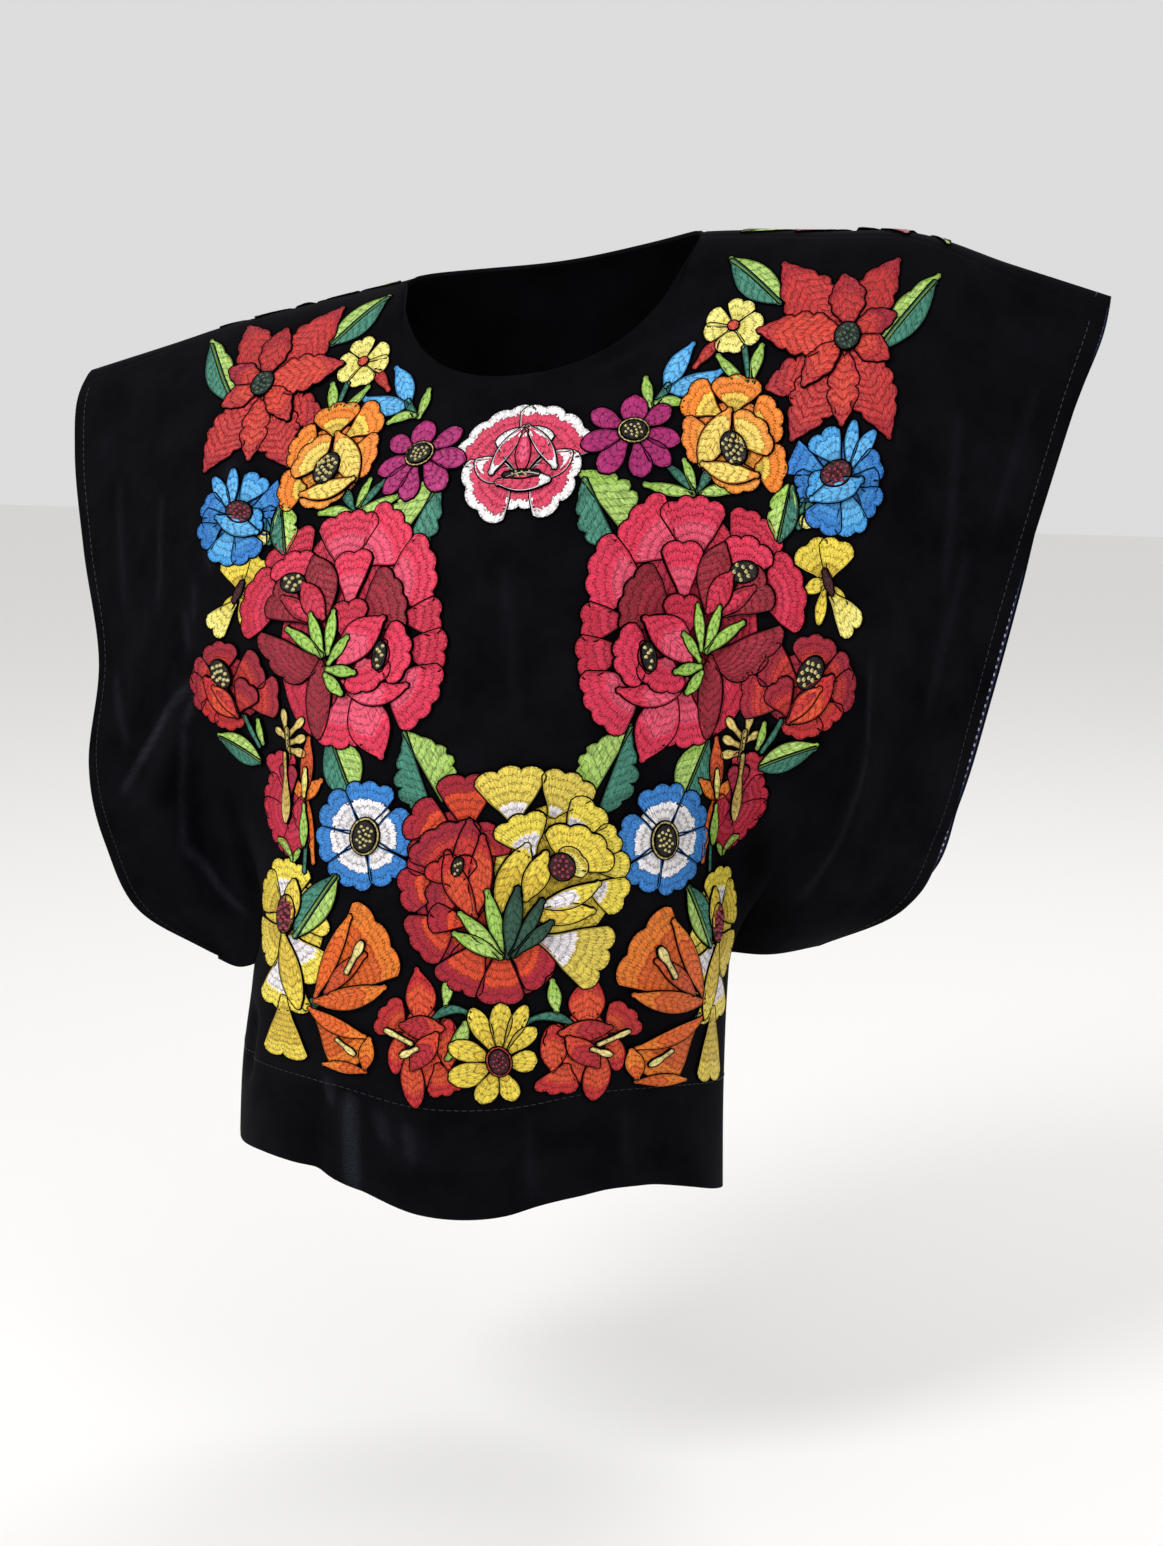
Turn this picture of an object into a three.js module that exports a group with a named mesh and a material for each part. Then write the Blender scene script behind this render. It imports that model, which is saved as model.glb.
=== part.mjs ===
// Huipil blouse: two T-shaped velvet panels, two dotted sleeve facings and raised flower patches.
// Millimetres, Z up, front toward -Y, origin between the two points where the neck meets the shoulders.
import * as THREE from "three";

// Cloth sizes, measured flat
const halfSpan = 345;
const bodyHalf = 215;
const neckHalf = 92;
const bodyLength = 600;
const sleeveDepth = 450;
const neckDrop = { front: 84, back: 30 };

// Wall of a panel, the double cloth of the hem and neck edge, and the seams
const clothThick = 1.8;
const hemDepth = 75;
const hemExtra = 0.7;
const neckTurn = 8;
const neckExtra = 0.5;
const seamGap = 0.3;
const cornerGap = 0.45;
const seamForward = 12;

// Sleeve facing: a strip just inside each sleeve opening
const facingWide = 36;
const facingThick = 1.2;
const facingGap = 0.35;
const facingEnd = 436;

// Raised flower patches
const patchGap = 0.32;
const patchThick = 1.2;
const patchRise = 1.0;
const flowerSpokes = 20;
const flowerRingShares = [0.2, 0.62, 1];

const velvetColor = 0x101014;
const facingColor = 0x1b2547;

// A table with named columns: the first argument names them, each further one is a row
function table(names, ...rows) {
  const columns = {};
  names.split(" ").forEach((name, index) => {
    columns[name] = rows.map((row) => row[index]);
  });
  return columns;
}

// Cross-section of the body at each distance down from the crest of the shoulder
const body = table(
  "down fall turn shiftX shiftY half front back square",
  [0, 0, 0, 0, 0, 150, 0, 0, 2.0],
  [25, 9, 1, 0, 0, 154, 24, 24, 2.0],
  [60, 40, 2, 0, 0, 158, 50, 46, 2.0],
  [120, 97, 5, -4, -2, 158, 90, 72, 2.0],
  [190, 163, 8, -9, -4, 152, 118, 84, 2.1],
  [260, 231, 12, -16, -6, 146, 130, 86, 2.3],
  [330, 300, 16, -26, -8, 142, 126, 86, 2.5],
  [400, 368, 20, -34, -11, 140, 120, 88, 2.6],
  [460, 427, 23, -40, -13, 141, 117, 91, 2.6],
  [530, 496, 25, -44, -15, 143, 117, 96, 2.6],
  [620, 585, 26, -46, -16, 145, 119, 101, 2.6],
);

// Each wing: where the cloth leaves the body (side) and where it ends (edge), front and back
const wingNames = "down sideX sideFront sideBack edgeFrontX edgeBackX edgeZ edgeFront edgeBack sag";
const wings = {
  right: table(
    wingNames,
    [0, 205, 0, 0, 301, 301, -70, 0, 0, 0],
    [25, 204, -20, 20, 303, 300, -86, -14, 12, 0],
    [60, 203, -44, 42, 297, 292, -116, -32, 22, 0],
    [120, 199, -70, 60, 284, 280, -174, -50, 34, 0],
    [190, 196, -80, 66, 269, 268, -240, -64, 42, 0],
    [260, 194, -80, 64, 274, 266, -302, -72, 44, 0],
    [330, 188, -68, 54, 266, 262, -350, -70, 40, 2],
    [395, 178, -50, 40, 250, 240, -396, -54, 24, 4],
    [450, 160, -34, 30, 197, 197, -418, -62, -62, 4],
  ),
  left: table(
    wingNames,
    [0, 208, 0, 0, 320, 320, -22, 0, 0, 0],
    [25, 208, -20, 20, 317, 315, -42, -14, 12, 0],
    [60, 207, -46, 42, 308, 302, -74, -28, 22, 0],
    [120, 203, -74, 60, 294, 283, -129, -46, 30, 0],
    [190, 198, -84, 66, 278, 268, -192, -60, 36, 0],
    [260, 192, -84, 64, 263, 253, -254, -66, 34, 0],
    [330, 182, -72, 52, 247, 237, -315, -66, 28, 2],
    [395, 166, -56, 36, 222, 218, -362, -54, 16, 6],
    [450, 141, -40, 26, 158, 158, -402, 14, 14, 4],
  ),
};

// Height of the shoulder line along the span
const shoulder = table(
  "across height",
  [-345, -70],
  [-280, -58],
  [-215, -42],
  [-140, -29],
  [-92, -13.5],
  [0, 2],
  [92, 13.5],
  [160, 10],
  [240, 11],
  [290, 0],
  [345, -22],
);

// How far the hem rides up around the body
const hemRise = table(
  "across rise",
  [-215, 42],
  [-150, 50],
  [-100, 46],
  [-50, 25],
  [0, 22],
  [50, 34],
  [100, 30],
  [150, 15],
  [215, 0],
);

// Largest folds: a line in the cloth from one point to another, its width and its height, minus for a valley
const foldNames = "fromAcross fromDown toAcross toDown wide high";
const folds = {
  front: table(
    foldNames,
    [-226, 262, -300, 320, 13, 7],
    [-240, 290, -268, 400, 15, -8],
    [-225, 330, -236, 420, 11, 6],
    [-262, 170, -285, 230, 14, 3],
    [232, 240, 240, 395, 20, -9],
    [262, 250, 270, 400, 16, 5],
    [212, 150, 222, 225, 14, -3],
    [-88, 530, -92, 600, 10, 4],
    [-106, 525, -112, 600, 9, -4],
    [12, 535, 14, 600, 16, -5],
    [40, 540, 44, 600, 12, 3],
    [96, 530, 92, 600, 14, -4],
    [60, 100, 92, 66, 9, -3],
    [-186, 470, -190, 560, 12, -5],
  ),
  back: table(
    foldNames,
    [-226, 240, -292, 318, 15, 6],
    [-246, 285, -262, 395, 16, -8],
    [228, 236, 246, 392, 18, -8],
    [266, 245, 274, 392, 15, 5],
    [-60, 250, -110, 420, 26, 6],
    [0, 300, -14, 470, 24, -5],
    [80, 260, 118, 440, 26, 6],
    [-120, 480, -130, 600, 18, 5],
    [-30, 500, -28, 600, 18, -5],
    [60, 490, 64, 600, 18, 5],
    [140, 500, 146, 600, 16, -5],
  ),
};

// Columns and rows of the panel grid
const bodyColumns = [0, 18, 36, 54, 68, 80, 88, neckHalf, 108, 126, 144, 160, 176, 190, 203, bodyHalf];
const wingColumns = [228, 244, 262, 284, halfSpan - facingWide, 327, halfSpan];
const sleeveRows = [
  0, 14, 28, 44, 60, 78, 96, 116, 136, 156, 176, 196, 216, 236, 256, 276, 296, 316, 336, 356, 376, 396, 416,
  facingEnd, sleeveDepth,
];
const lowerRows = [468, 487, 506, 525, 540, 560, 580, bodyLength];

// Flowers raised on the cloth: place, size in millimetres, petals and their depth, turn in degrees
const flowerNames = "across down wide high petals notch turn red green blue";
const sideFlowers = {
  poinsettia: [183, 70, 38, 51, 5, 0.4, 12, 0.79, 0.2, 0.2],
  orangeRose: [130, 128, 35, 37, 5, 0.2, 20, 0.93, 0.58, 0.2],
  purpleDaisy: [64, 127, 27, 28, 8, 0.3, 0, 0.55, 0.16, 0.45],
  blueRose: [189, 154, 26, 34, 5, 0.24, 0, 0.27, 0.56, 0.83],
  crimsonRose: [98, 235, 56, 70, 7, 0.16, 10, 0.77, 0.2, 0.33],
  redRose: [189, 262, 33, 33, 5, 0.18, 36, 0.79, 0.24, 0.24],
  blueWhiteFlower: [86, 352, 27, 28, 5, 0.26, 36, 0.5, 0.68, 0.86],
  upperCalla: [88, 420, 21, 30, 3, 0.3, 30, 0.91, 0.51, 0.15],
  emberFlower: [55, 481, 21, 36, 5, 0.3, 18, 0.88, 0.33, 0.18],
};
const middleFlowers = {
  centreFlower: [6, 131, 36, 35, 5, 0.24, 54, 0.87, 0.6, 0.68],
  emberRose: [-30, 384, 26, 60, 6, 0.16, 0, 0.87, 0.32, 0.2],
  creamRose: [30, 374, 29, 58, 6, 0.16, 30, 0.9, 0.83, 0.5],
  yellowDaisy: [-6, 492, 21, 24, 8, 0.3, 0, 0.92, 0.84, 0.42],
};
const flowerCentre = 4;

// Smooth curve through table values; its slopes come from the neighbours on both sides
function slopes(at, values, first) {
  const last = at.length - 1;
  const rate = (k) => (values[k + 1] - values[k]) / (at[k + 1] - at[k]);
  return values.map((value, k) => {
    if (k === 0) return first ?? rate(0);
    if (k === last) return rate(last - 1);
    const before = at[k] - at[k - 1];
    const after = at[k + 1] - at[k];
    return (rate(k - 1) * after + rate(k) * before) / (before + after);
  });
}

// leave and enter are the slopes after and before each value, apart where the curve has a corner
function curveWith(at, values, leave, enter, where) {
  const last = at.length - 1;
  const x = Math.min(Math.max(where, at[0]), at[last]);
  let k = 0;
  while (k < last - 1 && x >= at[k + 1]) k += 1;
  const wide = at[k + 1] - at[k];
  const t = (x - at[k]) / wide;
  const rest = 1 - t;
  const ends = rest * rest * (1 + 2 * t) * values[k] + t * t * (3 - 2 * t) * values[k + 1];
  return ends + t * rest * wide * (rest * leave[k] - t * enter[k + 1]);
}

function curve(at, values, where, first) {
  const slope = slopes(at, values, first);
  return curveWith(at, values, slope, slope, where);
}

function ease(t) {
  const s = Math.min(Math.max(t, 0), 1);
  return s * s * (3 - 2 * s);
}

// Point of the squared-off oval at a share of the way round from its middle to its side
function ovalPoint(share, half, deep, square) {
  const steps = 40;
  const points = [];
  for (let i = 0; i <= steps; i += 1) {
    const angle = (Math.PI / 2) * (i / steps);
    const x = half * Math.sin(angle) ** (2 / square);
    const y = deep * Math.max(Math.cos(angle), 0) ** (2 / square);
    points.push(new THREE.Vector2(x, y));
  }
  const along = [0];
  for (let i = 1; i <= steps; i += 1) along.push(along[i - 1] + points[i].distanceTo(points[i - 1]));
  const goal = share * along[steps];
  let i = 1;
  while (i < steps && along[i] < goal) i += 1;
  const t = (goal - along[i - 1]) / (along[i] - along[i - 1]);
  return { place: points[i - 1].clone().lerp(points[i], Math.min(t, 1)), length: along[steps] };
}

// Thirteen guide points of one row of cloth at a distance from the crest, on one face
const guideColumns = [-345, -280, -215, -160, -105, -50, 0, 50, 105, 160, 215, 280, 345];
const rowCache = new Map();

function guideRow(face, away) {
  const key = `${face}${away.toFixed(4)}`;
  if (rowCache.has(key)) return rowCache.get(key);
  const out = face === "front" ? -1 : 1;
  const firstSlopes = { fall: 0, front: 1, back: 1 };
  const at = {};
  for (const name of Object.keys(body)) at[name] = curve(body.down, body[name], away, firstSlopes[name]);
  const angle = THREE.MathUtils.degToRad(at.turn);
  const straight = 1 - ease(away / 160);
  const joined = THREE.MathUtils.clamp((away - 290) / 160, 0, 1) ** 1.6;
  const pull = 1 - ease((away - 280) / 110);
  const points = guideColumns.map((across) => {
    const side = across > 0 ? 1 : -1;
    const reach = Math.abs(across);
    const wing = across > 0 ? wings.left : wings.right;
    const wingAt = (name, first) => curve(wing.down, wing[name], away, first);
    const lift = curve(shoulder.across, shoulder.height, across);
    const height = lift * Math.max(1 - away / 460, 0) - at.fall;
    const turned = (x, y) =>
      new THREE.Vector3(
        at.shiftX + x * Math.cos(angle) - y * Math.sin(angle),
        at.shiftY + x * Math.sin(angle) + y * Math.cos(angle),
        height,
      );
    if (reach < bodyHalf) {
      const deep = out < 0 ? at.front : at.back;
      const oval = ovalPoint(reach / bodyHalf, at.half, deep, at.square).place;
      const x = THREE.MathUtils.lerp(oval.x, (reach * 208) / bodyHalf, straight);
      const y = THREE.MathUtils.lerp(oval.y, deep, straight);
      return turned(x * side, y * out);
    }
    if (reach === bodyHalf) {
      const sideY = wingAt(out < 0 ? "sideFront" : "sideBack", out);
      const free = new THREE.Vector3(side * wingAt("sideX"), sideY, height);
      return free.lerp(turned(side * at.half, 0), joined);
    }
    const edgeX = wingAt(out < 0 ? "edgeFrontX" : "edgeBackX");
    const edgeY = wingAt(out < 0 ? "edgeFront" : "edgeBack", 0.8 * out);
    return new THREE.Vector3(side * edgeX, edgeY, wingAt("edgeZ"));
  });
  for (const [middle, inner, outer] of [[9, 8, 10], [3, 4, 2]]) {
    const straightRun = points[inner].clone().lerp(points[outer], 0.5);
    points[middle].lerp(straightRun, pull);
  }
  for (const [middle, inner, outer, wing] of [[11, 10, 12, wings.left], [1, 2, 0, wings.right]]) {
    points[middle].copy(points[inner]).lerp(points[outer], 0.5);
    points[middle].z -= curve(wing.down, wing.sag, away);
  }
  const quarter = ovalPoint(0, at.half, out < 0 ? at.front : at.back, at.square).length / bodyHalf;
  const around = new THREE.Vector3(Math.sin(angle), -Math.cos(angle), 0).multiplyScalar(out * quarter);
  const row = { x: [], y: [], z: [], leave: {}, enter: {} };
  for (const axis of ["x", "y", "z"]) {
    const values = points.map((point) => point[axis]);
    const slope = slopes(guideColumns, values);
    const leave = [...slope];
    const enter = [...slope];
    const toWing = (k, next) => (values[next] - values[k]) / (guideColumns[next] - guideColumns[k]);
    enter[10] = THREE.MathUtils.lerp(slope[10], around[axis], joined);
    leave[10] = THREE.MathUtils.lerp(slope[10], toWing(10, 11), joined);
    leave[2] = THREE.MathUtils.lerp(slope[2], -around[axis], joined);
    enter[2] = THREE.MathUtils.lerp(slope[2], toWing(2, 1), joined);
    row[axis] = values;
    row.leave[axis] = leave;
    row.enter[axis] = enter;
  }
  rowCache.set(key, row);
  return row;
}

// Point of the cloth without its folds; near the shoulder the front panel starts past the crest
function smoothPoint(face, across, down) {
  const out = face === "front" ? -1 : 1;
  const past = down - out * seamForward * (1 - ease(down / 160));
  const side = past < 0 ? (face === "front" ? "back" : "front") : face;
  const row = guideRow(side, Math.abs(past));
  const axis = (name) => curveWith(guideColumns, row[name], row.leave[name], row.enter[name], across);
  const point = new THREE.Vector3(axis("x"), axis("y"), axis("z"));
  point.z += curve(hemRise.across, hemRise.rise, across) * ease((down - 440) / 160);
  const toCorner = Math.hypot(Math.abs(across) - bodyHalf, down - sleeveDepth);
  point.y += out * (seamGap / 2 + cornerGap * (1 - ease(toCorner / 25)));
  return point;
}

// Outward direction of a surface given by a function of across and down; the side seam ends the body
function outward(surface, face, across, down) {
  const step = 1.5;
  const reach = down > sleeveDepth + 1 ? bodyHalf : halfSpan;
  const low = reach === halfSpan && Math.abs(across) > bodyHalf ? sleeveDepth : bodyLength;
  const limit = THREE.MathUtils.clamp;
  const rightward = surface(face, limit(across + step, -reach, reach), down);
  const alongRow = rightward.sub(surface(face, limit(across - step, -reach, reach), down));
  const below = surface(face, across, Math.min(down + step, low));
  const downRow = below.sub(surface(face, across, Math.min(down, low) - step));
  const normal = downRow.cross(alongRow).normalize();
  return face === "front" ? normal : normal.negate();
}

// Height of all folds at a point; each fades toward its two ends and toward the seams
function foldHeight(face, across, down) {
  const list = folds[face];
  let height = 0;
  for (let i = 0; i < list.wide.length; i += 1) {
    const start = new THREE.Vector2(list.fromAcross[i], list.fromDown[i]);
    const line = new THREE.Vector2(list.toAcross[i], list.toDown[i]).sub(start);
    const away = new THREE.Vector2(across, down).sub(start);
    const t = THREE.MathUtils.clamp(away.dot(line) / line.lengthSq(), 0, 1);
    const distance = away.distanceTo(line.multiplyScalar(t));
    const open = down > bodyLength - 1 || list.toDown[i] >= bodyLength ? 1 : ease((1 - t) * 4);
    height += list.high[i] * Math.exp(-((distance / list.wide[i]) ** 2)) * ease(t * 4 + 0.15) * open;
  }
  const toSide = down > sleeveDepth ? ease((bodyHalf - Math.abs(across)) / 20) : 1;
  const toArm = Math.abs(across) > bodyHalf ? ease((sleeveDepth - down) / 40) : 1;
  return height * toSide * toArm * ease(down / 30);
}

function clothPoint(face, across, down) {
  const point = smoothPoint(face, across, down);
  const height = foldHeight(face, across, down);
  return point.addScaledVector(outward(smoothPoint, face, across, down), height);
}

function neckLine(face, across) {
  const share = Math.min(Math.abs(across) / neckHalf, 1);
  return neckDrop[face] * Math.sqrt(1 - share ** 2.5);
}

// Rows are pressed together between the neckline and the chest
function warpedDown(face, across, down) {
  const top = neckLine(face, across);
  const span = 164;
  return down < span ? top + (down * (span - top)) / span : down;
}

// The grid of one panel: inside and outside points, double cloth at hem and neck edge
function panelGrid(face) {
  const half = [...bodyColumns, ...wingColumns];
  const columns = [...half.slice(1).reverse().map((value) => -value), ...half];
  const rows = [...sleeveRows, ...lowerRows];
  const grid = { columns, rows, inside: [], outside: [], normals: [] };
  for (const row of rows) {
    const inside = [];
    const outside = [];
    const normals = [];
    for (const across of columns) {
      const down = warpedDown(face, across, row);
      const point = clothPoint(face, across, down);
      const normal = outward(clothPoint, face, across, down);
      const toNeck = Math.abs(across) < neckHalf ? down - neckLine(face, across) : 99;
      const hem = hemExtra * ease((row - (bodyLength - hemDepth) + 2) / 6);
      const neck = neckExtra * (1 - ease((toNeck - neckTurn) / 3));
      inside.push(point.clone().addScaledVector(normal, -hem));
      outside.push(point.clone().addScaledVector(normal, clothThick + neck));
      normals.push(normal);
    }
    grid.inside.push(inside);
    grid.outside.push(outside);
    grid.normals.push(normals);
  }
  return grid;
}

// Closed shell over the cells of two matching point grids; flip turns every face over and
// crossed says in which rows the quads are cut along their other diagonal
function shellGeometry(inner, outer, hasCell, flip, crossed = () => false) {
  const positions = [];
  const addTriangle = (a, b, c) => {
    const order = flip ? [a, c, b] : [a, b, c];
    for (const point of order) positions.push(point.x, point.y, point.z);
  };
  const addQuad = (a, b, c, d) => {
    addTriangle(a, b, c);
    addTriangle(a, c, d);
  };
  const rows = outer.length - 1;
  const columns = outer[0].length - 1;
  const inGrid = (i, j) => i >= 0 && j >= 0 && i < rows && j < columns && hasCell(i, j);
  for (let i = 0; i < rows; i += 1) {
    for (let j = 0; j < columns; j += 1) {
      if (!inGrid(i, j)) continue;
      const corners = [[i, j], [i + 1, j], [i + 1, j + 1], [i, j + 1]];
      const top = corners.map(([r, c]) => outer[r][c]);
      const base = corners.map(([r, c]) => inner[r][c]);
      const [a, b, c, d] = crossed(i) ? [1, 2, 3, 0] : [0, 1, 2, 3];
      addQuad(top[a], top[b], top[c], top[d]);
      addQuad(base[c], base[b], base[a], base[d]);
      const beside = [[i, j - 1], [i + 1, j], [i, j + 1], [i - 1, j]];
      beside.forEach(([r, c], side) => {
        if (inGrid(r, c)) return;
        const next = (side + 1) % 4;
        addQuad(top[next], top[side], base[side], base[next]);
      });
    }
  }
  const geometry = new THREE.BufferGeometry();
  geometry.setAttribute("position", new THREE.Float32BufferAttribute(positions, 3));
  return geometry;
}

function addPiece(group, name, geometry, color) {
  geometry.computeVertexNormals();
  const mesh = new THREE.Mesh(geometry, new THREE.MeshStandardMaterial({ color }));
  mesh.name = name;
  group.add(mesh);
}

// The sleeves end at the underarm; below it the panel is as wide as the body
function panelGeometry(grid, face) {
  const hasCell = (i, j) => {
    const reach = Math.max(Math.abs(grid.columns[j]), Math.abs(grid.columns[j + 1]));
    return grid.rows[i + 1] <= sleeveDepth || reach <= bodyHalf;
  };
  return shellGeometry(grid.inside, grid.outside, hasCell, face === "back");
}

// Strip inside one sleeve opening, from the underarm up over the shoulder and down behind
function facingGeometry(grids, side) {
  const { columns, rows } = grids.front;
  const wanted = columns.map((across, index) => ({ across, index })).filter(
    ({ across }) => across * side >= halfSpan - facingWide,
  );
  const last = rows.indexOf(facingEnd);
  const near = [];
  const far = [];
  const addRow = (grid, i) => {
    const offset = (distance) =>
      wanted.map(({ index }) => grid.inside[i][index].clone().addScaledVector(grid.normals[i][index], -distance));
    near.push(offset(facingGap));
    far.push(offset(facingGap + facingThick));
  };
  for (let i = last; i >= 0; i -= 1) addRow(grids.front, i);
  for (let i = 1; i <= last; i += 1) addRow(grids.back, i);
  return shellGeometry(far, near, () => true, true, (i) => i < last);
}

// Point over the flat faces of a panel: barycentric within one triangle of its outer grid
function overPanel(grid, face, across, down, lift) {
  const { columns, rows } = grid;
  let j = 0;
  while (j < columns.length - 2 && across >= columns[j + 1]) j += 1;
  const s = (across - columns[j]) / (columns[j + 1] - columns[j]);
  const edge = (i) => {
    const left = warpedDown(face, columns[j], rows[i]);
    const right = warpedDown(face, columns[j + 1], rows[i]);
    return THREE.MathUtils.lerp(left, right, s);
  };
  let i = 0;
  while (i < rows.length - 2 && down >= edge(i + 1)) i += 1;
  const t = (down - edge(i)) / (edge(i + 1) - edge(i));
  const weights = t > s ? [1 - t, t - s, s, 0] : [1 - s, 0, t, s - t];
  const corners = [[i, j], [i + 1, j], [i + 1, j + 1], [i, j + 1]];
  const point = new THREE.Vector3();
  const normal = new THREE.Vector3();
  corners.forEach(([r, c], k) => {
    point.addScaledVector(grid.outside[r][c], weights[k]);
    normal.addScaledVector(grid.normals[r][c], weights[k]);
  });
  return point.addScaledVector(normal.normalize(), lift);
}

// Lobed rings of a flower in the cloth, from its heart to its outline
function flowerRings(flower) {
  const [across, down, wide, high, petals, notch, turn] = flower;
  return flowerRingShares.map((ring) => {
    const points = [];
    for (let k = 0; k <= flowerSpokes; k += 1) {
      const angle = (2 * Math.PI * (k % flowerSpokes)) / flowerSpokes;
      const lobe = Math.cos(petals * (angle - THREE.MathUtils.degToRad(turn)));
      const reach = ring * (1 - notch * ring * (0.5 - 0.5 * lobe));
      const offset = new THREE.Vector2(wide * Math.cos(angle), high * Math.sin(angle)).multiplyScalar(reach);
      points.push(offset.add(new THREE.Vector2(across, down)));
    }
    return points;
  });
}

// How far the straight edges between neighbouring points of the rings would sink into the panel
function sinkDepth(grid, face, rings) {
  const middles = [];
  for (let ring = 0; ring < rings.length; ring += 1) {
    for (let k = 0; k < flowerSpokes; k += 1) {
      const here = rings[ring][k];
      const across = rings[0][(k + flowerSpokes / 2) % flowerSpokes];
      middles.push([here, rings[ring][k + 1]]);
      if (ring === 0) middles.push([here, across]);
      else middles.push([here, rings[ring - 1][k]], [rings[ring][k + 1], rings[ring - 1][k]]);
    }
  }
  let depth = 0;
  for (const [from, to] of middles) {
    for (const share of [0.25, 0.5, 0.75]) {
      const chord = overPanel(grid, face, from.x, from.y, 0).lerp(overPanel(grid, face, to.x, to.y, 0), share);
      const spot = from.clone().lerp(to, share);
      const foot = overPanel(grid, face, spot.x, spot.y, 0);
      const normal = overPanel(grid, face, spot.x, spot.y, 1).sub(foot);
      depth = Math.max(depth, -chord.sub(foot).dot(normal));
    }
  }
  return depth;
}

// Lobed patch lying just clear of the panel and domed toward its heart
function flowerGeometry(grid, face, flower) {
  const rings = flowerRings(flower);
  const gap = patchGap + sinkDepth(grid, face, rings);
  const layer = (lift) =>
    rings.map((ring, k) => ring.map((spot) => overPanel(grid, face, spot.x, spot.y, lift(flowerRingShares[k]))));
  const base = layer(() => gap);
  const top = layer((share) => gap + patchThick + patchRise * (1 - share * share));
  return capGeometry(base, top, face === "back");
}

// Closes a ring grid with a middle point above and below and a rim at its outline
function capGeometry(base, top, flip) {
  const positions = [];
  const addTriangle = (a, b, c) => {
    const order = flip ? [a, c, b] : [a, b, c];
    for (const point of order) positions.push(point.x, point.y, point.z);
  };
  const middle = (ring) =>
    ring.slice(1).reduce((sum, point) => sum.add(point), new THREE.Vector3()).divideScalar(ring.length - 1);
  const topMiddle = middle(top[0]);
  const baseMiddle = middle(base[0]);
  const last = top.length - 1;
  for (let k = 0; k < top[0].length - 1; k += 1) {
    addTriangle(topMiddle, top[0][k + 1], top[0][k]);
    addTriangle(baseMiddle, base[0][k], base[0][k + 1]);
    for (let ring = 0; ring < last; ring += 1) {
      addTriangle(top[ring][k], top[ring][k + 1], top[ring + 1][k + 1]);
      addTriangle(top[ring][k], top[ring + 1][k + 1], top[ring + 1][k]);
      addTriangle(base[ring][k], base[ring + 1][k + 1], base[ring][k + 1]);
      addTriangle(base[ring][k], base[ring + 1][k], base[ring + 1][k + 1]);
    }
    addTriangle(top[last][k], top[last][k + 1], base[last][k + 1]);
    addTriangle(top[last][k], base[last][k + 1], base[last][k]);
  }
  const geometry = new THREE.BufferGeometry();
  geometry.setAttribute("position", new THREE.Float32BufferAttribute(positions, 3));
  return geometry;
}

function addFlowers(group, grid, face) {
  const place = (name, row, side) => {
    const flower = [...row];
    flower[0] = side * row[0] + (side === 0 ? row[0] : flowerCentre);
    if (side < 0) flower[6] = 180 - row[6];
    const color = new THREE.Color(row[7], row[8], row[9]);
    addPiece(group, name, flowerGeometry(grid, face, flower), color);
  };
  for (const [name, row] of Object.entries(sideFlowers)) {
    place(`${face}_${name}_left`, row, 1);
    place(`${face}_${name}_right`, row, -1);
  }
  for (const [name, row] of Object.entries(middleFlowers)) place(`${face}_${name}`, row, 0);
}

const group = new THREE.Group();
const grids = { front: panelGrid("front"), back: panelGrid("back") };
addPiece(group, "front", panelGeometry(grids.front, "front"), velvetColor);
addPiece(group, "back", panelGeometry(grids.back, "back"), velvetColor);
addPiece(group, "sleeve_facing_left", facingGeometry(grids, 1), facingColor);
addPiece(group, "sleeve_facing_right", facingGeometry(grids, -1), facingColor);
addFlowers(group, grids.front, "front");

export default group;
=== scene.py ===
import bmesh
import bpy
import math
import numpy as np
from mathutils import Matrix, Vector


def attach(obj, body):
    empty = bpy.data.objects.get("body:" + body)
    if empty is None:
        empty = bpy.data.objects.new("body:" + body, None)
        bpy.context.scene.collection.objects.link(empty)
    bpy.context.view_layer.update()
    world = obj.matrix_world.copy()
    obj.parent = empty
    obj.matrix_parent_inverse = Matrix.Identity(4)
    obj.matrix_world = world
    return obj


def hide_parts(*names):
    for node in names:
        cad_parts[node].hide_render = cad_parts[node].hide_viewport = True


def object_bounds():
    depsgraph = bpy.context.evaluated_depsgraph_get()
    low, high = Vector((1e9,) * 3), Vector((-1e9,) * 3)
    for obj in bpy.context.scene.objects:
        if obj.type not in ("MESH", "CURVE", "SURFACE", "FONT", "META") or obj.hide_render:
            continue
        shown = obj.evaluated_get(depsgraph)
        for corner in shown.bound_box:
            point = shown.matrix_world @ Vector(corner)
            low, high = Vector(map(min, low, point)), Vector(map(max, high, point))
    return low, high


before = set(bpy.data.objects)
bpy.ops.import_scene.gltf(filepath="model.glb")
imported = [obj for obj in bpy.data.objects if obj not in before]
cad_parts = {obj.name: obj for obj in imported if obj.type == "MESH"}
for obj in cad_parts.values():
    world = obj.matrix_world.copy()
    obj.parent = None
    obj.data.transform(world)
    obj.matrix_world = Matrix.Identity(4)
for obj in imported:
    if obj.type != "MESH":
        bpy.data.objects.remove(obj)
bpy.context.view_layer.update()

# The pattern in millimetres: across from the middle to the photo's right, down from the crest of
# the shoulder. The worn form takes it up with ease at the folds, so it is a little over the flat cloth
cloth = {
    "halfSpan": 345.0, "bodyHalf": 215.0, "neckHalf": 92.0, "bodyLength": 600.0, "sleeveDepth": 450.0,
    "neckDropFront": 84.0, "neckDropBack": 30.0, "thick": 1.8, "hemDepth": 75.0, "hemExtra": 0.7,
    "neckTurn": 7.0, "neckExtra": 0.6, "seamGap": 0.3, "cornerGap": 0.45, "seamForward": 12.0,
}
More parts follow.
